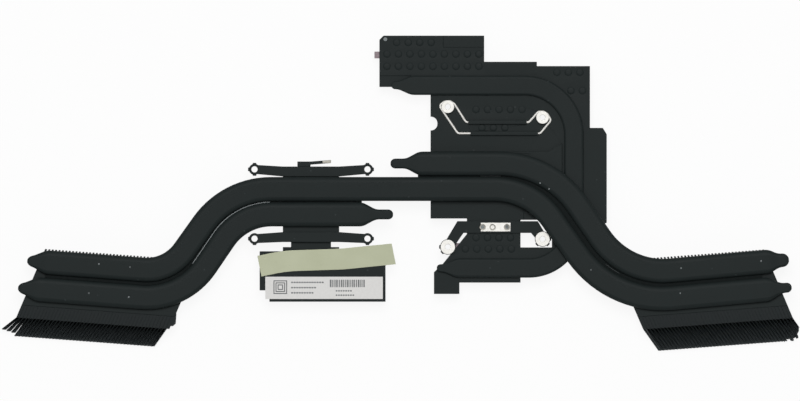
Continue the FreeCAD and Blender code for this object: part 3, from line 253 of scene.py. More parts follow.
def uneven_finish(name, tints, spacing, detail, gloss=None, **constants):
    """A finish that drifts between two tints, and between two roughnesses where gloss gives them.

    The spacing of its pattern is in millimetres, one for all directions or one for each. Returns
    the material, the coordinates that its patterns read, the pattern and the tint.
    """
    material = new_material(name, **constants)
    place = add_node(material, "ShaderNodeTexCoord").outputs["Object"]
    if isinstance(spacing, tuple):
        stretch = add_node(material, "ShaderNodeMapping", {
            "Vector": place, "Scale": [1 / (size * MM) for size in spacing]})
        inputs = {"Vector": stretch.outputs["Vector"], "Scale": 1.0, "Detail": detail}
    else:
        inputs = {"Vector": place, "Scale": 1 / (spacing * MM), "Detail": detail}
    pattern = add_node(material, "ShaderNodeTexNoise", inputs).outputs["Fac"]
    tint = add_node(material, "ShaderNodeMix", {
        "Factor": pattern, 6: opaque(tints[0]), 7: opaque(tints[1])}, data_type="RGBA").outputs[2]
    feed(material, "Base Color", tint)
    if gloss:
        sheen = add_node(material, "ShaderNodeMapRange", {
            "Value": pattern, "To Min": gloss[0], "To Max": gloss[1]})
        feed(material, "Roughness", sheen.outputs["Result"])
    return material, place, pattern, tint


def satin_black_paint():
    """Sprayed satin black paint: near black, with faint clouds, orange-peel grain and some dust."""
    material, place, _, tint = uneven_finish(
        "satin_black_paint", (colours().paint, colours().paint_light), spacing=11.0, detail=4.0,
        gloss=(0.46, 0.62), IOR=1.45, Specular_IOR_Level=0.12)
    # Specks of dust: the middles of a few cells, each cell 3.6 mm wide
    cells = add_node(material, "ShaderNodeTexVoronoi", {"Vector": place, "Scale": 1 / (3.6 * MM)})
    near = add_node(
        material, "ShaderNodeMath", {0: cells.outputs["Distance"], 1: 0.1}, operation="LESS_THAN")
    lot = add_node(material, "ShaderNodeSeparateColor", {"Color": cells.outputs["Color"]})
    few = add_node(
        material, "ShaderNodeMath", {0: lot.outputs["Red"], 1: 0.86}, operation="GREATER_THAN")
    dusty = add_node(
        material, "ShaderNodeMath", {0: near.outputs[0], 1: few.outputs[0]}, operation="MULTIPLY")
    faint = add_node(
        material, "ShaderNodeMath", {0: dusty.outputs[0], 1: 0.35}, operation="MULTIPLY")
    dust_and_painted_light = add_node(material, "ShaderNodeMix", {
        "Factor": faint.outputs[0], 6: tint, 7: opaque(colours().dust)}, data_type="RGBA")
    feed(material, "Base Color", dust_and_painted_light.outputs[2])
    # The real grain is about 0.1 mm; it is drawn at 0.7 mm, so that it shows in the render.
    grain = add_node(
        material, "ShaderNodeTexNoise", {"Vector": place, "Scale": 1 / (0.7 * MM), "Detail": 2.0})
    bump = add_node(material, "ShaderNodeBump", {
        "Height": grain.outputs["Fac"], "Strength": 0.22, "Distance": 0.06 * MM})
    feed(material, "Normal", bump.outputs["Normal"])
    return material


def shade_darkened_solder():
    """Solder between the pipes: lumpy and matt, black with paint, and darker than the paint as
    painted shade deep in the gaps.
    """
    material, _, lumps, _ = uneven_finish(
        "shade_darkened_solder", (linear("#121616"), linear("#1B2020")), spacing=1.3, detail=3.0,
        Roughness=0.85, Specular_IOR_Level=0.1)
    bump = add_node(
        material, "ShaderNodeBump", {"Height": lumps, "Strength": 0.3, "Distance": 0.2 * MM})
    feed(material, "Normal", bump.outputs["Normal"])
    return material


def painted_fin_sheet():
    """Thin painted aluminium sheet: streaks from the fin press, and painted light low in the slots,
    a lighter grey for light that reaches their bottoms.
    """
    material, place, _, tint = uneven_finish(
        "painted_fin_sheet", (linear("#171C1D"), linear("#1F2526")),
        spacing=(1.5, 20.0, 6.0), detail=3.0, gloss=(0.42, 0.6), IOR=1.45, Specular_IOR_Level=0.15)
    # Painted light: the lower 6 mm of the slots turn a lighter grey, which stands in for light that
    # reaches down into them.
    foot = cad_box[0].z
    height = add_node(material, "ShaderNodeSeparateXYZ", {"Vector": place})
    depth = add_node(material, "ShaderNodeMapRange", {
        "Value": height.outputs["Z"], "From Min": foot, "From Max": foot + 6.0 * MM,
        "To Min": 1.0, "To Max": 0.0})
    grey = opaque(linear("#3E4446"))
    dust_and_painted_light = add_node(material, "ShaderNodeMix", {
        "Factor": depth.outputs["Result"], 6: tint, 7: grey}, data_type="RGBA")
    feed(material, "Base Color", dust_and_painted_light.outputs[2])
    return material


def bright_nickel():
    """Nickel-plated steel: a pale warm metal with a soft tumbled shine."""
    return uneven_finish(
        "bright_nickel", (colours().nickel, linear("#E0DED8")), spacing=1.2, detail=3.0,
        gloss=(0.5, 0.65), Metallic=0.35)[0]


def dull_rivet_steel():
    """Flattened rivet ends and the finger's bare tip: grey steel, duller than plated metal."""
    return uneven_finish(
        "dull_rivet_steel", (linear("#5C5A55"), linear("#A19F97")), spacing=0.9, detail=4.0,
        gloss=(0.35, 0.6), Metallic=1.0)[0]


def ground_copper():
    """Copper ground flat for the chips: a warm metal with straight grinding lines 0.3 mm apart."""
    return uneven_finish(
        "ground_copper", (colours().copper, linear("#E0A98A")),
        spacing=(30.0, 0.3, 0.3), detail=3.0, gloss=(0.25, 0.45), Metallic=1.0)[0]


def label_paper():
    """Uncoated label paper: pale grey-white, matte, with faint fibres."""
    return uneven_finish(
        "label_paper", (colours().paper, linear("#D6D5D3")), spacing=1.1, detail=5.0,
        IOR=1.45, Specular_IOR_Level=0.2, Roughness=0.85)[0]


def label_ink():
    """Thermal print: flat dark grey, a little uneven where the head skipped."""
    return uneven_finish(
        "label_ink", (colours().ink, linear("#7B7E80")), spacing=0.7, detail=2.0,
        Roughness=0.8)[0]


def sage_tape():
    """Coated cloth tape: pale sage, matte, with a fine cross weave and a few stains."""
    material, place, _, _ = uneven_finish(
        "sage_tape", (colours().tape, linear("#B1B599")), spacing=13.0, detail=4.0,
        IOR=1.45, Specular_IOR_Level=0.25, Roughness=0.75)
    # Threads about 0.35 mm apart, drawn at 0.7 mm so that they show
    weave = add_node(material, "ShaderNodeTexChecker", {"Vector": place, "Scale": 1 / (0.7 * MM)})
    bump = add_node(material, "ShaderNodeBump", {
        "Height": weave.outputs["Fac"], "Strength": 0.15, "Distance": 0.04 * MM})
    feed(material, "Normal", bump.outputs["Normal"])
    return material


def silicone_pad():
    """Soft silicone thermal pad: pinkish grey, matte and slightly mealy."""
    return uneven_finish(
        "silicone_pad", (colours().pad, linear("#857A7E")), spacing=0.8, detail=4.0,
        gloss=(0.7, 0.95), IOR=1.42, Specular_IOR_Level=0.3)[0]


def chipped_metal():
    """Bare metal in a paint chip, and the thin grey lines in the gaps between the pipes: a dull
    pale grey.
    """
    return uneven_finish(
        "chipped_metal", (linear("#3F4445"), linear("#777C7D")), spacing=0.4, detail=2.0,
        Metallic=0.6, Roughness=0.5)[0]


def white_floor():
    """White paper: the camera and shiny surfaces see it evenly white, and it keeps the shadow."""
    material = new_material("white_floor", Base_Color=opaque(linear("#F2F2F2")), Roughness=0.9)
    path = add_node(material, "ShaderNodeLightPath")
    glossy = add_node(material, "ShaderNodeMath", {
        0: path.outputs["Is Camera Ray"], 1: path.outputs["Is Glossy Ray"]}, operation="MAXIMUM")
    seen = add_node(material, "ShaderNodeMath", {
        0: glossy.outputs[0], 1: path.outputs["Is Transmission Ray"]}, operation="MAXIMUM")
    share = add_node(
        material, "ShaderNodeMath", {0: seen.outputs[0], 1: 0.9}, operation="MULTIPLY")
    glow = add_node(
        material, "ShaderNodeEmission", {"Color": (1.0, 1.0, 1.0, 1.0), "Strength": 1.0})
    mix = add_node(material, "ShaderNodeMixShader", {
        "Fac": share.outputs[0],
        1: shader_of(material).outputs["BSDF"],
        2: glow.outputs["Emission"],
    })
    surface = material.node_tree.nodes["Material Output"].inputs["Surface"]
    material.node_tree.links.new(mix.outputs["Shader"], surface)
    return material


def paint_with(piece, *finishes):
    """Gives a piece these finishes and no others; each is made on its first use."""
    piece.data.materials.clear()
    for finish in finishes:
        piece.data.materials.append(bpy.data.materials.get(finish.__name__) or finish())


def hand_over(piece, slot, *nodes):
    """Puts a piece on the part's one body, in place of the CAD nodes that it stands for."""
    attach(piece, "root")
    if nodes:
        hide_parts(*nodes)


# Modelling helpers

def deselect():
    if bpy.context.object and bpy.context.object.mode != "OBJECT":
        bpy.ops.object.mode_set(mode="OBJECT")
    bpy.ops.object.select_all(action="DESELECT")


def make_active(piece):
    deselect()
    bpy.context.view_layer.objects.active = piece
    piece.select_set(True)


def edit(mode):
    bpy.ops.object.mode_set(mode=mode)


def select_all():
    bpy.ops.mesh.select_all(action="SELECT")


def select_points(piece, test):
    """In edit mode, selects the points that pass a test of their place."""
    mesh = bmesh.from_edit_mesh(piece.data)
    for vert in mesh.verts:
        vert.select_set(test(vert.co))
    mesh.select_flush_mode()
    bmesh.update_edit_mesh(piece.data)


def extrude(step):
    bpy.ops.mesh.extrude_region_move(TRANSFORM_OT_translate={"value": step})


def apply_place():
    """Puts the selected objects' place, turn and scale into their meshes."""
    bpy.ops.object.transform_apply(location=True, rotation=True, scale=True)


def close_up(merge=MERGE):
    """Merges doubled points, turns the faces outwards and leaves edit mode."""
    select_all()
    bpy.ops.mesh.remove_doubles(threshold=merge)
    bpy.ops.mesh.normals_make_consistent(inside=False)
    edit("OBJECT")


def smooth_edges(piece, degrees):
    """Smooth shading up to an angle, with flat faces kept flat."""
    make_active(piece)
    bpy.ops.object.shade_smooth_by_angle(angle=math.radians(degrees))
    piece.modifiers.new("flat faces", "WEIGHTED_NORMAL").keep_sharp = True
    bpy.ops.object.modifier_apply(modifier="flat faces")


def copy_of(source, name):
    """A new object with its own copy of another's mesh."""
    piece = bpy.data.objects.new(name, source.data.copy())
    bpy.context.scene.collection.objects.link(piece)
    return piece


def joined(pieces, name):
    """Several pieces as one, with their places in its mesh."""
    make_active(pieces[0])
    for piece in pieces:
        piece.select_set(True)
    apply_place()
    bpy.ops.object.join()
    piece = bpy.context.object
    piece.name = name
    return piece


def merged_copy(node, name):
    """A copy of a CAD solid with its loose triangles merged, selected in edit mode."""
    piece = copy_of(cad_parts[node], name)
    make_active(piece)
    edit("EDIT")
    select_all()
    bpy.ops.mesh.customdata_custom_splitnormals_clear()
    bpy.ops.mesh.remove_doubles(threshold=MERGE)
    return piece


def dressed_copy(node, kind, finish, slot, rounding, segments=3, flat_faces=True):
    """A painted copy of a CAD solid in its place, with its sharp edges rounded.

    flat_faces joins the triangles of each flat face first.
    """
    piece = merged_copy(node, f"{node}_{kind}")
    if flat_faces:
        bpy.ops.mesh.dissolve_limited(angle_limit=math.radians(FLAT_ANGLE))
    edit("OBJECT")
    bevel = piece.modifiers.new("rounding", "BEVEL")
    bevel.width = rounding
    bevel.segments = segments
    bevel.limit_method = "ANGLE"
    bevel.angle_limit = math.radians(SHARP_ANGLE)
    bevel.miter_outer = "MITER_ARC"
    bpy.ops.object.modifier_apply(modifier="rounding")
    smooth_edges(piece, degrees=40)
    paint_with(piece, finish)
    hand_over(piece, slot, node)
    return piece


def round_section(points, radius, place, fill="NGON"):
    """A round section that faces along X, selected in edit mode."""
    deselect()
    bpy.ops.mesh.primitive_circle_add(
        vertices=points, radius=radius, fill_type=fill, location=place, rotation=FACING_X)
    piece = bpy.context.object
    apply_place()
    edit("EDIT")
    select_all()
    return piece


def lay_down(piece, heading, start):
    """Turns a piece drawn along X to its heading, and moves it to its start in millimetres."""
    piece.rotation_euler = (0.0, 0.0, heading)
    piece.location = (start[0] * MM, start[1] * MM, 0.0)
    apply_place()


# Routes

def route_stretches(route):
    """Stretches of a route, in metres: ("straight", step) or ("bend", centre, turn)."""
    corners = [Vector(corner[:2]) * MM for corner in route]
    stretches = []
    spot = corners[0]
    for number in range(1, len(corners)):
        corner = corners[number]
        into = (corner - corners[number - 1]).normalized()
        if number == len(corners) - 1:
            stretches.append(("straight", corner - spot))
            continue
        out = (corners[number + 1] - corner).normalized()
        turn = math.atan2(into.x * out.y - into.y * out.x, into.dot(out))
        radius = route[number][2] * MM
        reach = radius * math.tan(abs(turn) / 2)
        start = corner - into * reach
        stretches.append(("straight", start - spot))
        side = Vector((-into.y, into.x)) * math.copysign(radius, turn)
        stretches.append(("bend", start + side, turn))
        spot = corner + out * reach
    return stretches


def follow(route, level, bend_step):
    """Draws what is selected along a route, its bends in steps of so many degrees."""
    for stretch in route_stretches(route):
        if stretch[0] == "straight":
            extrude((*stretch[1], 0.0))
            continue
        centre, turn = stretch[1:]
        steps = max(4, math.ceil(abs(math.degrees(turn)) / bend_step))
        bpy.ops.mesh.spin(steps=steps, angle=-turn, center=(*centre, level), axis=(0, 0, 1))


def turned(points, angle, about):
    """Route corners turned about a point in the plan."""
    cosine = math.cos(angle)
    sine = math.sin(angle)
    out = []
    for point in points:
        across = point[0] - about[0]
        along = point[1] - about[1]
        out.append((across * cosine - along * sine, across * sine + along * cosine, *point[2:]))
    return out


def heading_of(first, second):
    return math.atan2(second[1] - first[1], second[0] - first[0])


def shortened(route, cut):
    """The route with both its ends drawn back."""
    ends = []
    for near, far in ((route[0], route[1]), (route[-1], route[-2])):
        heading = heading_of(near, far)
        ends.append((near[0] + cut * math.cos(heading), near[1] + cut * math.sin(heading)))
    return (ends[0], *route[1:-1], ends[1])


# Heat pipes

def eased(share, first, last):
    """A ramp from 0 to 1: straight in its middle, soft over a first and a last share of it."""
    slope = 1 / (1 - first / 2 - last / 2)
    if share < first:
        return slope * share * share / (2 * first)
    if share > 1 - last:
        return 1 - slope * (1 - share) ** 2 / (2 * last)
    return slope * (share - first / 2)


def tip_rings(full, thick, nib, straight, taper):
    """Rings from a sealed tip to the full section: distance from the tip, width and thickness."""
    soft = sizes().taper_ease
    inner = min(soft, straight)
    blunt = straight < soft / 2
    nose = nib / 2
    nib_thick = thick * NIB_THICK
    rings = []
    for share in NOSE_RINGS:
        round_reach = math.sqrt(1 - (1 - share) ** 2)
        reach = (round_reach + math.sqrt(share)) / 2 if blunt else round_reach
        edge = SEAL_THICK + (1 - SEAL_THICK) * round_reach
        rings.append((nose * share, nib * reach, nib_thick * edge))
    start = nose + straight - inner
    if straight > inner:
        rings.append((start, nib, nib_thick))
    whole = inner + taper + soft
    for number in range(1, TAPER_RINGS + 1):
        share = number / TAPER_RINGS
        ease = eased(share, 2 * inner / whole, 2 * soft / whole)
        rings.append((
            start + whole * share,
            nib + (full - nib) * ease,
            nib_thick + (thick - nib_thick) * ease,
        ))
    return rings


def scale_ring(before, after, centre):
    """Brings the selected ring to the next one's width and thickness."""
    bpy.ops.transform.resize(
        value=(1.0, after[1] / before[1], after[2] / before[2]), center_override=centre)


def pipe_section(full, thick, level):
    """A flattened pipe's full section, flat above and below and round at its sides."""
    piece = round_section(sizes().ring_points, thick / 2, (0.0, 0.0, level))
    side = sizes().side_round
    bpy.ops.transform.resize(value=(1.0, side, 1.0), center_override=(0.0, 0.0, level))
    shift = (full - thick * side) / 2
    select_points(piece, lambda spot: spot.y > 0)
    bpy.ops.transform.translate(value=(0.0, shift, 0.0))
    select_points(piece, lambda spot: spot.y < 0)
    bpy.ops.transform.translate(value=(0.0, -shift, 0.0))
    select_all()
    return piece


def flattened_pipe(node, route, full, ends):
    """A flattened pipe along its route; an end gives its nib's width and length, and its taper."""
    route = shortened(route, sizes().taper_ease / MM)
    low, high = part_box(node)
    thick = high.z - low.z
    level = (high.z + low.z) / 2
    start = route[0]
    first_heading = heading_of(route[0], route[1])
    local = turned(route, -first_heading, start)
    last_heading = heading_of(local[-2], local[-1])

    piece = pipe_section(full, thick, level)
    piece.name = f"{node}_tube"
    rings = tip_rings(full, thick, *ends[0])
    reach = rings[-1][0]
    bpy.ops.transform.translate(value=(rings[0][0] - reach, 0.0, 0.0))
    scale_ring((0.0, full, thick), rings[0], (rings[0][0] - reach, 0.0, level))
    for before, after in zip(rings, rings[1:]):
        extrude((after[0] - before[0], 0.0, 0.0))
        scale_ring(before, after, (after[0] - reach, 0.0, level))
    follow(local, level, bend_step=4.0)
    edit("OBJECT")

    # The far end is drawn along X too, so the pipe is turned until that end lies so.
    piece.rotation_euler = (0.0, 0.0, -last_heading)
    bpy.ops.object.transform_apply(location=False, rotation=True, scale=False)
    end = turned([local[-1]], -last_heading, (0.0, 0.0))[0]
    edit("EDIT")
    rings = tip_rings(full, thick, *ends[1])[::-1]
    for before, after in zip(rings, rings[1:]):
        extrude((before[0] - after[0], 0.0, 0.0))
        scale_ring(before, after, (end[0] * MM + rings[0][0] - after[0], end[1] * MM, level))
    close_up()
    lay_down(piece, first_heading + last_heading, start)
    smooth_edges(piece, degrees=50)
    paint_with(piece, satin_black_paint)
    hand_over(piece, "black_paint", node)


def solder_seam(route, wide, low):
    """Solder that fills the gap between two pipes, with a hollow top; wide is in millimetres."""
    start = route[0]
    heading = heading_of(route[0], route[1])
    level = low + 0.6 * MM
    hollow = 0.25 * MM
    hollow_side = wide * 0.28 * MM
    piece = round_section(points=16, radius=0.5 * MM, place=(0.0, 0.0, level))
    bpy.ops.transform.resize(value=(1.0, wide, 1.0), center_override=(0.0, 0.0, level))
    select_points(piece, lambda spot: abs(spot.y) < hollow_side and spot.z > level)
    bpy.ops.transform.translate(value=(0.0, 0.0, -hollow))
    select_all()
    follow(turned(route, -heading, start), level, bend_step=6.0)
    close_up()
    lay_down(piece, heading, start)
    smooth_edges(piece, degrees=60)
    return piece


class HEATSINK_OT_heat_pipes(bpy.types.Operator):
    """Draws the four flattened heat pipes along their routes, and the solder between them"""
    bl_idname = "heatsink.heat_pipes"
    bl_label = "Heat Pipes"

    def execute(self, context):
        wide = sizes().pipe_width
        nib = sizes().pipe_nib
        taper = sizes().taper
        # Each end: its nib's width and length, and the taper behind it
        thin_end = (sizes().thin_nib, 1.4 * MM, taper)
        left_end = (sizes().blunt_nib, 0.2 * MM, taper)
        right_end = (sizes().wide_blunt_nib, 1.6 * MM, taper - 1.4 * MM)
        flattened_pipe("memory_heat_pipe", MEMORY_ROUTE, sizes().thin_width, (thin_end, thin_end))
        flattened_pipe("cross_heat_pipe", CROSS_ROUTE, wide, (left_end, (nib, 2.4 * MM, taper)))
        flattened_pipe("cpu_heat_pipe", CPU_ROUTE, wide, (left_end, (nib, 5.5 * MM, taper)))
        flattened_pipe("gpu_heat_pipe", GPU_ROUTE, wide, ((nib, 4.8 * MM, taper), right_end))
        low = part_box("cross_heat_pipe")[0].z
        # Solder seams fill the gaps between the pipes; their darker colour is painted shade.
        shade_darkened_seams = joined([solder_seam(*seam, low) for seam in SOLDER_SEAMS], "solder_seams")
        paint_with(shade_darkened_seams, shade_darkened_solder)
        hand_over(shade_darkened_seams, "black_paint")
        # Thin grey lines low in the gaps, where grey shows between the pipes.
        lines = [solder_seam(route, width, low + lift * MM) for route, width, lift in GREY_GAP_LINES]
        bare = joined(lines, "grey_gap_lines")
        paint_with(bare, chipped_metal)
        hand_over(bare, "bright_steel")
        return {"FINISHED"}


# Fin stacks

def painted_fins(node):
    """A merged copy of a stack, with the paint that closes its feet and thickens its rear teeth."""
    piece = merged_copy(node, f"{node}_sheets")
    bpy.ops.mesh.normals_make_consistent(inside=False)
    low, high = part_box(node)
    foot = low.z + 1.0 * MM
    middle = (low.y + high.y) / 2
    select_points(piece, lambda spot: spot.z < foot and spot.y < middle)
    bpy.ops.transform.shrink_fatten(value=sizes().fin_grow, use_even_offset=True)
    select_points(piece, lambda spot: spot.y > middle)
    bpy.ops.transform.shrink_fatten(value=sizes().tooth_grow)
    edit("OBJECT")
    return piece


def frayed(piece):
    """The stack with the tips of its outermost right fins out of line, as they are worn."""
    name = piece.name
    edit("EDIT")
    select_all()
    bpy.ops.mesh.separate(type="LOOSE")
    edit("OBJECT")
    fins = list(bpy.context.selected_objects)
    fins.sort(key=lambda fin: max(vert.co.x for vert in fin.data.vertices), reverse=True)
    for fin, bent in zip(fins, RAGGED_TIPS):
        tip = min(vert.co.y for vert in fin.data.vertices) + 1.0 * MM
        for vert in fin.data.vertices:
            if vert.co.y < tip:
                vert.co.x += bent * TIP_HEADING[0] * MM
                vert.co.y += bent * TIP_HEADING[1] * MM
    return joined(fins, name)


class HEATSINK_OT_fin_stacks(bpy.types.Operator):
    """Paints the two stacks of folded fins and rounds the sheets on them"""
    bl_idname = "heatsink.fin_stacks"
    bl_label = "Fin Stacks"

    def execute(self, context):
        for node in ("left_fin_stack", "right_fin_stack"):
            piece = painted_fins(node)
            if node == "right_fin_stack":
                piece = frayed(piece)
            smooth_edges(piece, degrees=30)
            paint_with(piece, painted_fin_sheet)
            hand_over(piece, "black_fins", node)
        for node in ("left_stack_cover", "right_stack_cover"):
            dressed_copy(
                node, "sheet", satin_black_paint, "black_paint", sizes().sheet_round * 1.2)
        return {"FINISHED"}


# Plates

def cold_plate(node):
    """A contact block: painted like the rest, with its underside ground to bare copper."""
    piece = dressed_copy(node, "block", ground_copper, "copper", sizes().sheet_round)
    paint_with(piece, ground_copper, satin_black_paint)
    for face in piece.data.polygons:
        face.material_index = int(face.normal.z > -0.5)


class HEATSINK_OT_processor_plate(bpy.types.Operator):
    """Rounds and paints the processor plate, its arms, its finger and the black plate in front"""
    bl_idname = "heatsink.processor_plate"
    bl_label = "Processor Plate"

    def execute(self, context):
        for node in ("cpu_base_plate", "cpu_rear_arm", "cpu_front_arm", "vrm_plate"):
            dressed_copy(node, "pressing", satin_black_paint, "black_paint", sizes().sheet_round)
        finger = dressed_copy(
            "earth_finger", "pressing", satin_black_paint, "black_paint", sizes().sheet_round)
        paint_with(finger, satin_black_paint, dull_rivet_steel)
        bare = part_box("earth_finger")[1].x - sizes().finger_tip
        make_active(finger)
        edit("EDIT")
        select_all()
        bpy.ops.mesh.bisect(plane_co=(bare, 0.0, 0.0), plane_no=(1.0, 0.0, 0.0))
        edit("OBJECT")
        for face in finger.data.polygons:
            face.material_index = int(face.center.x > bare)
        cold_plate("cpu_cold_plate")
        return {"FINISHED"}


def bump_places():
    """Middles of the plate's bumps, in their rows."""
    places = []
    for left, along, count in BUMP_ROWS:
        for number in range(count):
            places.append(Vector((left + number * BUMP_PITCH, along)) * MM)
    return places


def sink_bumps(plate, level):
    """Lowers the plate's faceted bumps, so that the soft ones cover them."""
    places = bump_places()
    reach = sizes().bump_wide * 0.55
    highest = 2 * sizes().bump_high
    left_over = 0.2
    for vert in plate.data.vertices:
        rise = vert.co.z - level
        if not 0.0 < rise < highest:
            continue
        if any((vert.co.xy - place).length < reach for place in places):
            vert.co.z = level + rise * left_over


def plate_bumps(level):
    """Soft round bumps over the plate's faceted ones, in their rows."""
    deselect()
    high = sizes().bump_high
    bpy.ops.mesh.primitive_circle_add(
        vertices=20, radius=sizes().bump_wide / 2, fill_type="NGON")
    dome = bpy.context.object
    edit("EDIT")
    select_all()
    before = (1.0, 0.0)
    for share, rise in BUMP_RINGS:
        extrude((0.0, 0.0, (rise - before[1]) * high))
        bpy.ops.transform.resize(
            value=(share / before[0], share / before[0], 1.0),
            center_override=(0.0, 0.0, rise * high))
        before = (share, rise)
    close_up()
    smooth_edges(dome, degrees=60)
    bumps = []
    for place in bump_places():
        bump = copy_of(dome, "bump")
        bump.location = (*place, level)
        bumps.append(bump)
    bpy.data.objects.remove(dome)
    return joined(bumps, "plate_bumps")


class HEATSINK_OT_graphics_plate(bpy.types.Operator):
    """Rounds and paints the graphics plate with its bumps, and its leaf spring"""
    bl_idname = "heatsink.graphics_plate"
    bl_label = "Graphics Plate"

    def execute(self, context):
        finish = ("pressing", satin_black_paint, "black_paint", sizes().sheet_round)
        plate = dressed_copy("gpu_base_plate", *finish, flat_faces=False)
        dressed_copy("gpu_leaf_spring", *finish)
        cold_plate("gpu_cold_plate")
        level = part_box("memory_heat_pipe")[0].z
        sink_bumps(plate, level)
        bumps = plate_bumps(level)
        paint_with(bumps, satin_black_paint)
        hand_over(bumps, "black_paint")
        return {"FINISHED"}


# Springs and fasteners

def wire_hook(across, along, side, lean):
    """Four corners of the wire's hook round the rear of a bushing, from inner to outer end."""
    rise = 1.0
    behind = 2.4
    cosine = math.cos(math.radians(lean))
    sine = math.sin(math.radians(lean))
    steps = ((-side * 3.0, rise), (-side * 1.2, behind), (side * 1.2, behind), (side * 3.8, rise))
    return [
        (across + out * cosine - away * sine, along + out * sine + away * cosine, WIRE_BEND)
        for out, away in steps
    ]


def wire_route():
    """The wire's closed route, from the middle of its rear line and back to it."""
    middle = (81.0, WIRE_REAR)
    return [
        middle,
        (68.2, WIRE_REAR, WIRE_BEND),
        *wire_hook(*LEFT_HOOK),
        (64.6, WIRE_FRONT, WIRE_BEND),
        (100.9, WIRE_FRONT, WIRE_BEND),
        *reversed(wire_hook(*RIGHT_HOOK)),
        (95.9, WIRE_REAR, WIRE_BEND),
        middle,
    ]


class HEATSINK_OT_wire_spring(bpy.types.Operator):
    """Bends the closed wire spring round the rear bushings"""
    bl_idname = "heatsink.wire_spring"
    bl_label = "Wire Spring"

    def execute(self, context):
        low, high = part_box("gpu_wire_spring")
        level = (low.z + high.z) / 2
        route = wire_route()
        start = (route[0][0] * MM, route[0][1] * MM, level)
        piece = round_section(12, sizes().wire_width / 2, start, fill="NOTHING")
        piece.name = "gpu_wire_spring_bent"
        follow(route, level, bend_step=11.0)
        close_up(merge=10 * MERGE)
        smooth_edges(piece, degrees=60)
        paint_with(piece, bright_nickel)
        hand_over(piece, "bright_steel", "gpu_wire_spring")
        return {"FINISHED"}


class HEATSINK_OT_bushings(bpy.types.Operator):
    """Rounds the plated bushings, the strip and the rivets"""
    bl_idname = "heatsink.bushings"
    bl_label = "Bushings and Rivets"

    def execute(self, context):
        for node in ("rear_bushings", "front_bushings", "spring_strip"):
            dressed_copy(node, "plated", bright_nickel, "bright_steel", sizes().sheet_round)
        fine = sizes().sheet_round * 0.7
        rivets = dressed_copy("strip_rivets", "set", dull_rivet_steel, "black_paint", fine)
        dressed_copy("corner_rivet", "set", chipped_metal, "bright_steel", fine)
        paint_with(rivets, dull_rivet_steel, chipped_metal, bright_nickel)
        low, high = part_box("strip_rivets")
        top = high.z - 0.02 * MM
        for face in rivets.data.polygons:
            face.select = face.normal.z > 0.99 and face.center.z > top
        make_active(rivets)
        edit("EDIT")
        rim = 0.42 * MM
        hollow = 0.09 * MM
        bpy.ops.mesh.inset(thickness=rim, depth=-hollow, use_individual=True)
        edit("OBJECT")
        # The second rivet's hollow is bright, and the others' are dull.
        second = low.x + (high.x - low.x) * 0.4
        near = 1.5 * MM
        for face in rivets.data.polygons:
            if face.select:
                face.material_index = 2 if abs(face.center.x - second) < near else 1
        return {"FINISHED"}


# Label, tape and pads

def dashes(left, front, count, pitch, width, depth):
    """A row of short bars on the label."""
    return [(left + number * pitch, front, width, depth) for number in range(count)]


def label_bars():
    """Plain bars on the label: left, front, width and depth, in millimetres from its corner."""
    bars = []
    line = 0.42
    for ring in range(3):
        inset = ring * 0.9
        side = 6.0 - 2 * inset
        left = 3.6 + inset
        front = 2.2 + inset
        bars.append((left, front, side, line))
        bars.append((left, front + side - line, side, line))
        bars.append((left, front + line, line, side - 2 * line))
        bars.append((left + side - line, front + line, line, side - 2 * line))
    for front, count in ((7.0, 13), (4.7, 10), (2.4, 9)):
        bars += dashes(11.4, front, count, 1.12, 0.78, 0.62)
    for stripe in range(19):
        bars.append((28.4 + stripe * 0.82, 5.2, line + 0.14 * (stripe % 3 == 0), 3.3))
    for front, count in ((3.3, 7), (1.4, 8)):
        bars += dashes(31.0, front, count, 1.05, 0.72, 0.58)
    return bars


class HEATSINK_OT_label(bpy.types.Operator):
    """Lays the paper label with plain generic bars on it"""
    bl_idname = "heatsink.label"
    bl_label = "Label"

    def execute(self, context):
        dressed_copy(
            "paper_label", "sheet", label_paper, "paper", sizes().paper_round, segments=2)
        low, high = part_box("paper_label")
        deselect()
        bpy.ops.mesh.primitive_cube_add(size=1.0)
        bar = bpy.context.object
        edit("EDIT")
        select_all()
        bpy.ops.mesh.bevel(offset=0.06, segments=1)
        edit("OBJECT")
        ink_thick = 0.02 * MM
        ink_level = high.z + ink_thick / 4
        bars = []
        for left, front, width, depth in label_bars():
            copy = copy_of(bar, "bar")
            copy.scale = (width * MM, depth * MM, ink_thick)
            copy.location = (
                low.x + (left + width / 2) * MM,
                low.y + (front + depth / 2) * MM,
                ink_level,
            )
            bars.append(copy)
        bpy.data.objects.remove(bar)
        printed = joined(bars, "label_print")
        paint_with(printed, label_ink)
        hand_over(printed, "paper")
        return {"FINISHED"}


def cut_across(low, high, axis, parts):
    """In edit mode, divides the mesh into equal parts along an axis."""
    normal = [0.0, 0.0, 0.0]
    normal[axis] = 1.0
    for number in range(1, parts):
        spot = [0.0, 0.0, 0.0]
        spot[axis] = low[axis] + (high[axis] - low[axis]) * number / parts
        select_all()
        bpy.ops.mesh.bisect(plane_co=spot, plane_no=normal)


class HEATSINK_OT_tape(bpy.types.Operator):
    """Lays the strip of tape in its slight S, a little loose at its ends"""
    bl_idname = "heatsink.tape"
    bl_label = "Tape"

    def execute(self, context):
        piece = dressed_copy(
            "tape_strip", "cloth", sage_tape, "tape", sizes().paper_round, segments=1)
        make_active(piece)
        low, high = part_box("tape_strip")
        edit("EDIT")
        cut_across(low, high, 0, 32)
        cut_across(low, high, 1, 10)
        edit("OBJECT")
        wave = sizes().tape_wave
        for vert in piece.data.vertices:
            along = (vert.co.x - low.x) / (high.x - low.x)
            across = (vert.co.y - low.y) / (high.y - low.y)
            ripple = math.sin(along * 21.0 + across * 4.0) * math.sin(along * 8.0 - across * 6.0)
            lift = max(0.0, along - 0.93) * 6.0 + max(0.0, 0.05 - along) * 5.0
            vert.co.z += wave * (0.5 + 0.5 * ripple + lift)
        smooth_edges(piece, degrees=40)
        return {"FINISHED"}


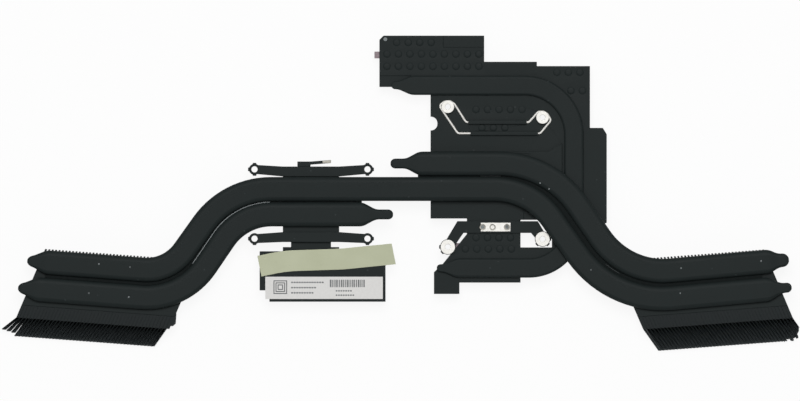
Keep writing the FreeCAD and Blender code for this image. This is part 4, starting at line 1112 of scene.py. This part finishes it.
class HEATSINK_OT_thermal_pads(bpy.types.Operator):
    """Rounds the soft pads under the plates"""
    bl_idname = "heatsink.thermal_pads"
    bl_label = "Thermal Pads"

    def execute(self, context):
        for node in ("vrm_pad", "gpu_rear_pad", "gpu_front_pad"):
            dressed_copy(node, "silicone", silicone_pad, "pad", sizes().pad_round, segments=4)
        return {"FINISHED"}


class HEATSINK_OT_paint_chips(bpy.types.Operator):
    """Puts the small bright chips in the black paint"""
    bl_idname = "heatsink.paint_chips"
    bl_label = "Paint Chips"

    def execute(self, context):
        chips = []
        sunk = 0.01 * MM
        thick = 0.03 * MM
        ragged = 0.1 * MM
        proud = 0.02 * MM
        for number, (across, along, node, wide) in enumerate(PAINT_CHIPS):
            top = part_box(node)[1].z
            deselect()
            bpy.ops.mesh.primitive_circle_add(
                vertices=9, radius=wide / 2 * MM, fill_type="NGON",
                location=(across * MM, along * MM, top - sunk))
            chip = bpy.context.object
            apply_place()
            edit("EDIT")
            select_all()
            extrude((0.0, 0.0, thick))
            select_all()
            bpy.ops.transform.vertex_random(
                offset=ragged, uniform=0.0, normal=0.0, seed=number + FIRST_CHIP_SEED)
            edit("OBJECT")
            for vert in chip.data.vertices:
                vert.co.z = min(max(vert.co.z, top - proud), top + proud)
            chips.append(chip)
        piece = joined(chips, "paint_chips")
        edit("EDIT")
        select_all()
        bpy.ops.mesh.normals_make_consistent(inside=False)
        edit("OBJECT")
        paint_with(piece, chipped_metal)
        hand_over(piece, "bright_steel")
        return {"FINISHED"}


class HEATSINK_OT_stage(bpy.types.Operator):
    """Makes the pale floor, the soft light and the camera"""
    bl_idname = "heatsink.stage"
    bl_label = "Stage"

    def execute(self, context):
        scene = context.scene
        middle = Vector((40 * MM, 0.0, 0.0))
        deselect()
        bpy.ops.mesh.primitive_plane_add(size=6.0, location=(middle.x, middle.y, cad_box[0].z))
        floor = bpy.context.object
        floor.name = "floor"
        paint_with(floor, white_floor)

        world = bpy.data.worlds.new("soft room")
        world.use_nodes = True
        room = world.node_tree.nodes["Background"]
        room.inputs["Color"].default_value = (1.0, 1.0, 1.0, 1.0)
        room.inputs["Strength"].default_value = 0.3
        scene.world = world
        for name, place, wide, power in LAMPS:
            lamp = bpy.data.lights.new(name, "AREA")
            lamp.size = wide
            lamp.energy = power
            holder = bpy.data.objects.new(name, lamp)
            holder.location = middle + place
            holder.rotation_euler = (-place).to_track_quat("-Z", "Y").to_euler()
            scene.collection.objects.link(holder)

        lens = bpy.data.cameras.new("camera")
        lens.lens = 800.0
        lens.sensor_width = 36.0
        lens.clip_end = 20.0
        camera = bpy.data.objects.new("camera", lens)
        distance = sizes().view_width * lens.lens / lens.sensor_width
        camera.location = Vector(VIEW_CENTRE) * MM + Vector((0.0, 0.0, distance))
        scene.collection.objects.link(camera)
        scene.camera = camera
        scene.view_settings.view_transform = "Standard"
        return {"FINISHED"}


PIECE_OPERATORS = (
    HEATSINK_OT_heat_pipes,
    HEATSINK_OT_fin_stacks,
    HEATSINK_OT_processor_plate,
    HEATSINK_OT_graphics_plate,
    HEATSINK_OT_wire_spring,
    HEATSINK_OT_bushings,
    HEATSINK_OT_label,
    HEATSINK_OT_tape,
    HEATSINK_OT_thermal_pads,
    HEATSINK_OT_paint_chips,
    HEATSINK_OT_stage,
)


class HEATSINK_PT_panel(bpy.types.Panel):
    """Lists the heatsink's pieces and the stage"""
    bl_idname = "HEATSINK_PT_panel"
    bl_label = "Laptop Heatsink"
    bl_space_type = "VIEW_3D"
    bl_region_type = "UI"
    bl_category = "Heatsink"

    def draw(self, context):
        for operator in PIECE_OPERATORS:
            self.layout.operator(operator.bl_idname)


CLASSES = (HeatsinkSizes, HeatsinkColours, *PIECE_OPERATORS, HEATSINK_PT_panel)


def register():
    for item in CLASSES:
        bpy.utils.register_class(item)
    bpy.types.Scene.heatsink_sizes = PointerProperty(type=HeatsinkSizes)
    bpy.types.Scene.heatsink_colours = PointerProperty(type=HeatsinkColours)


def unregister():
    del bpy.types.Scene.heatsink_colours
    del bpy.types.Scene.heatsink_sizes
    for item in reversed(CLASSES):
        bpy.utils.unregister_class(item)


def main():
    register()
    bpy.ops.heatsink.heat_pipes()
    bpy.ops.heatsink.fin_stacks()
    bpy.ops.heatsink.processor_plate()
    bpy.ops.heatsink.graphics_plate()
    bpy.ops.heatsink.wire_spring()
    bpy.ops.heatsink.bushings()
    bpy.ops.heatsink.label()
    bpy.ops.heatsink.tape()
    bpy.ops.heatsink.thermal_pads()
    bpy.ops.heatsink.paint_chips()
    bpy.ops.heatsink.stage()


if __name__ == "__main__":
    main()
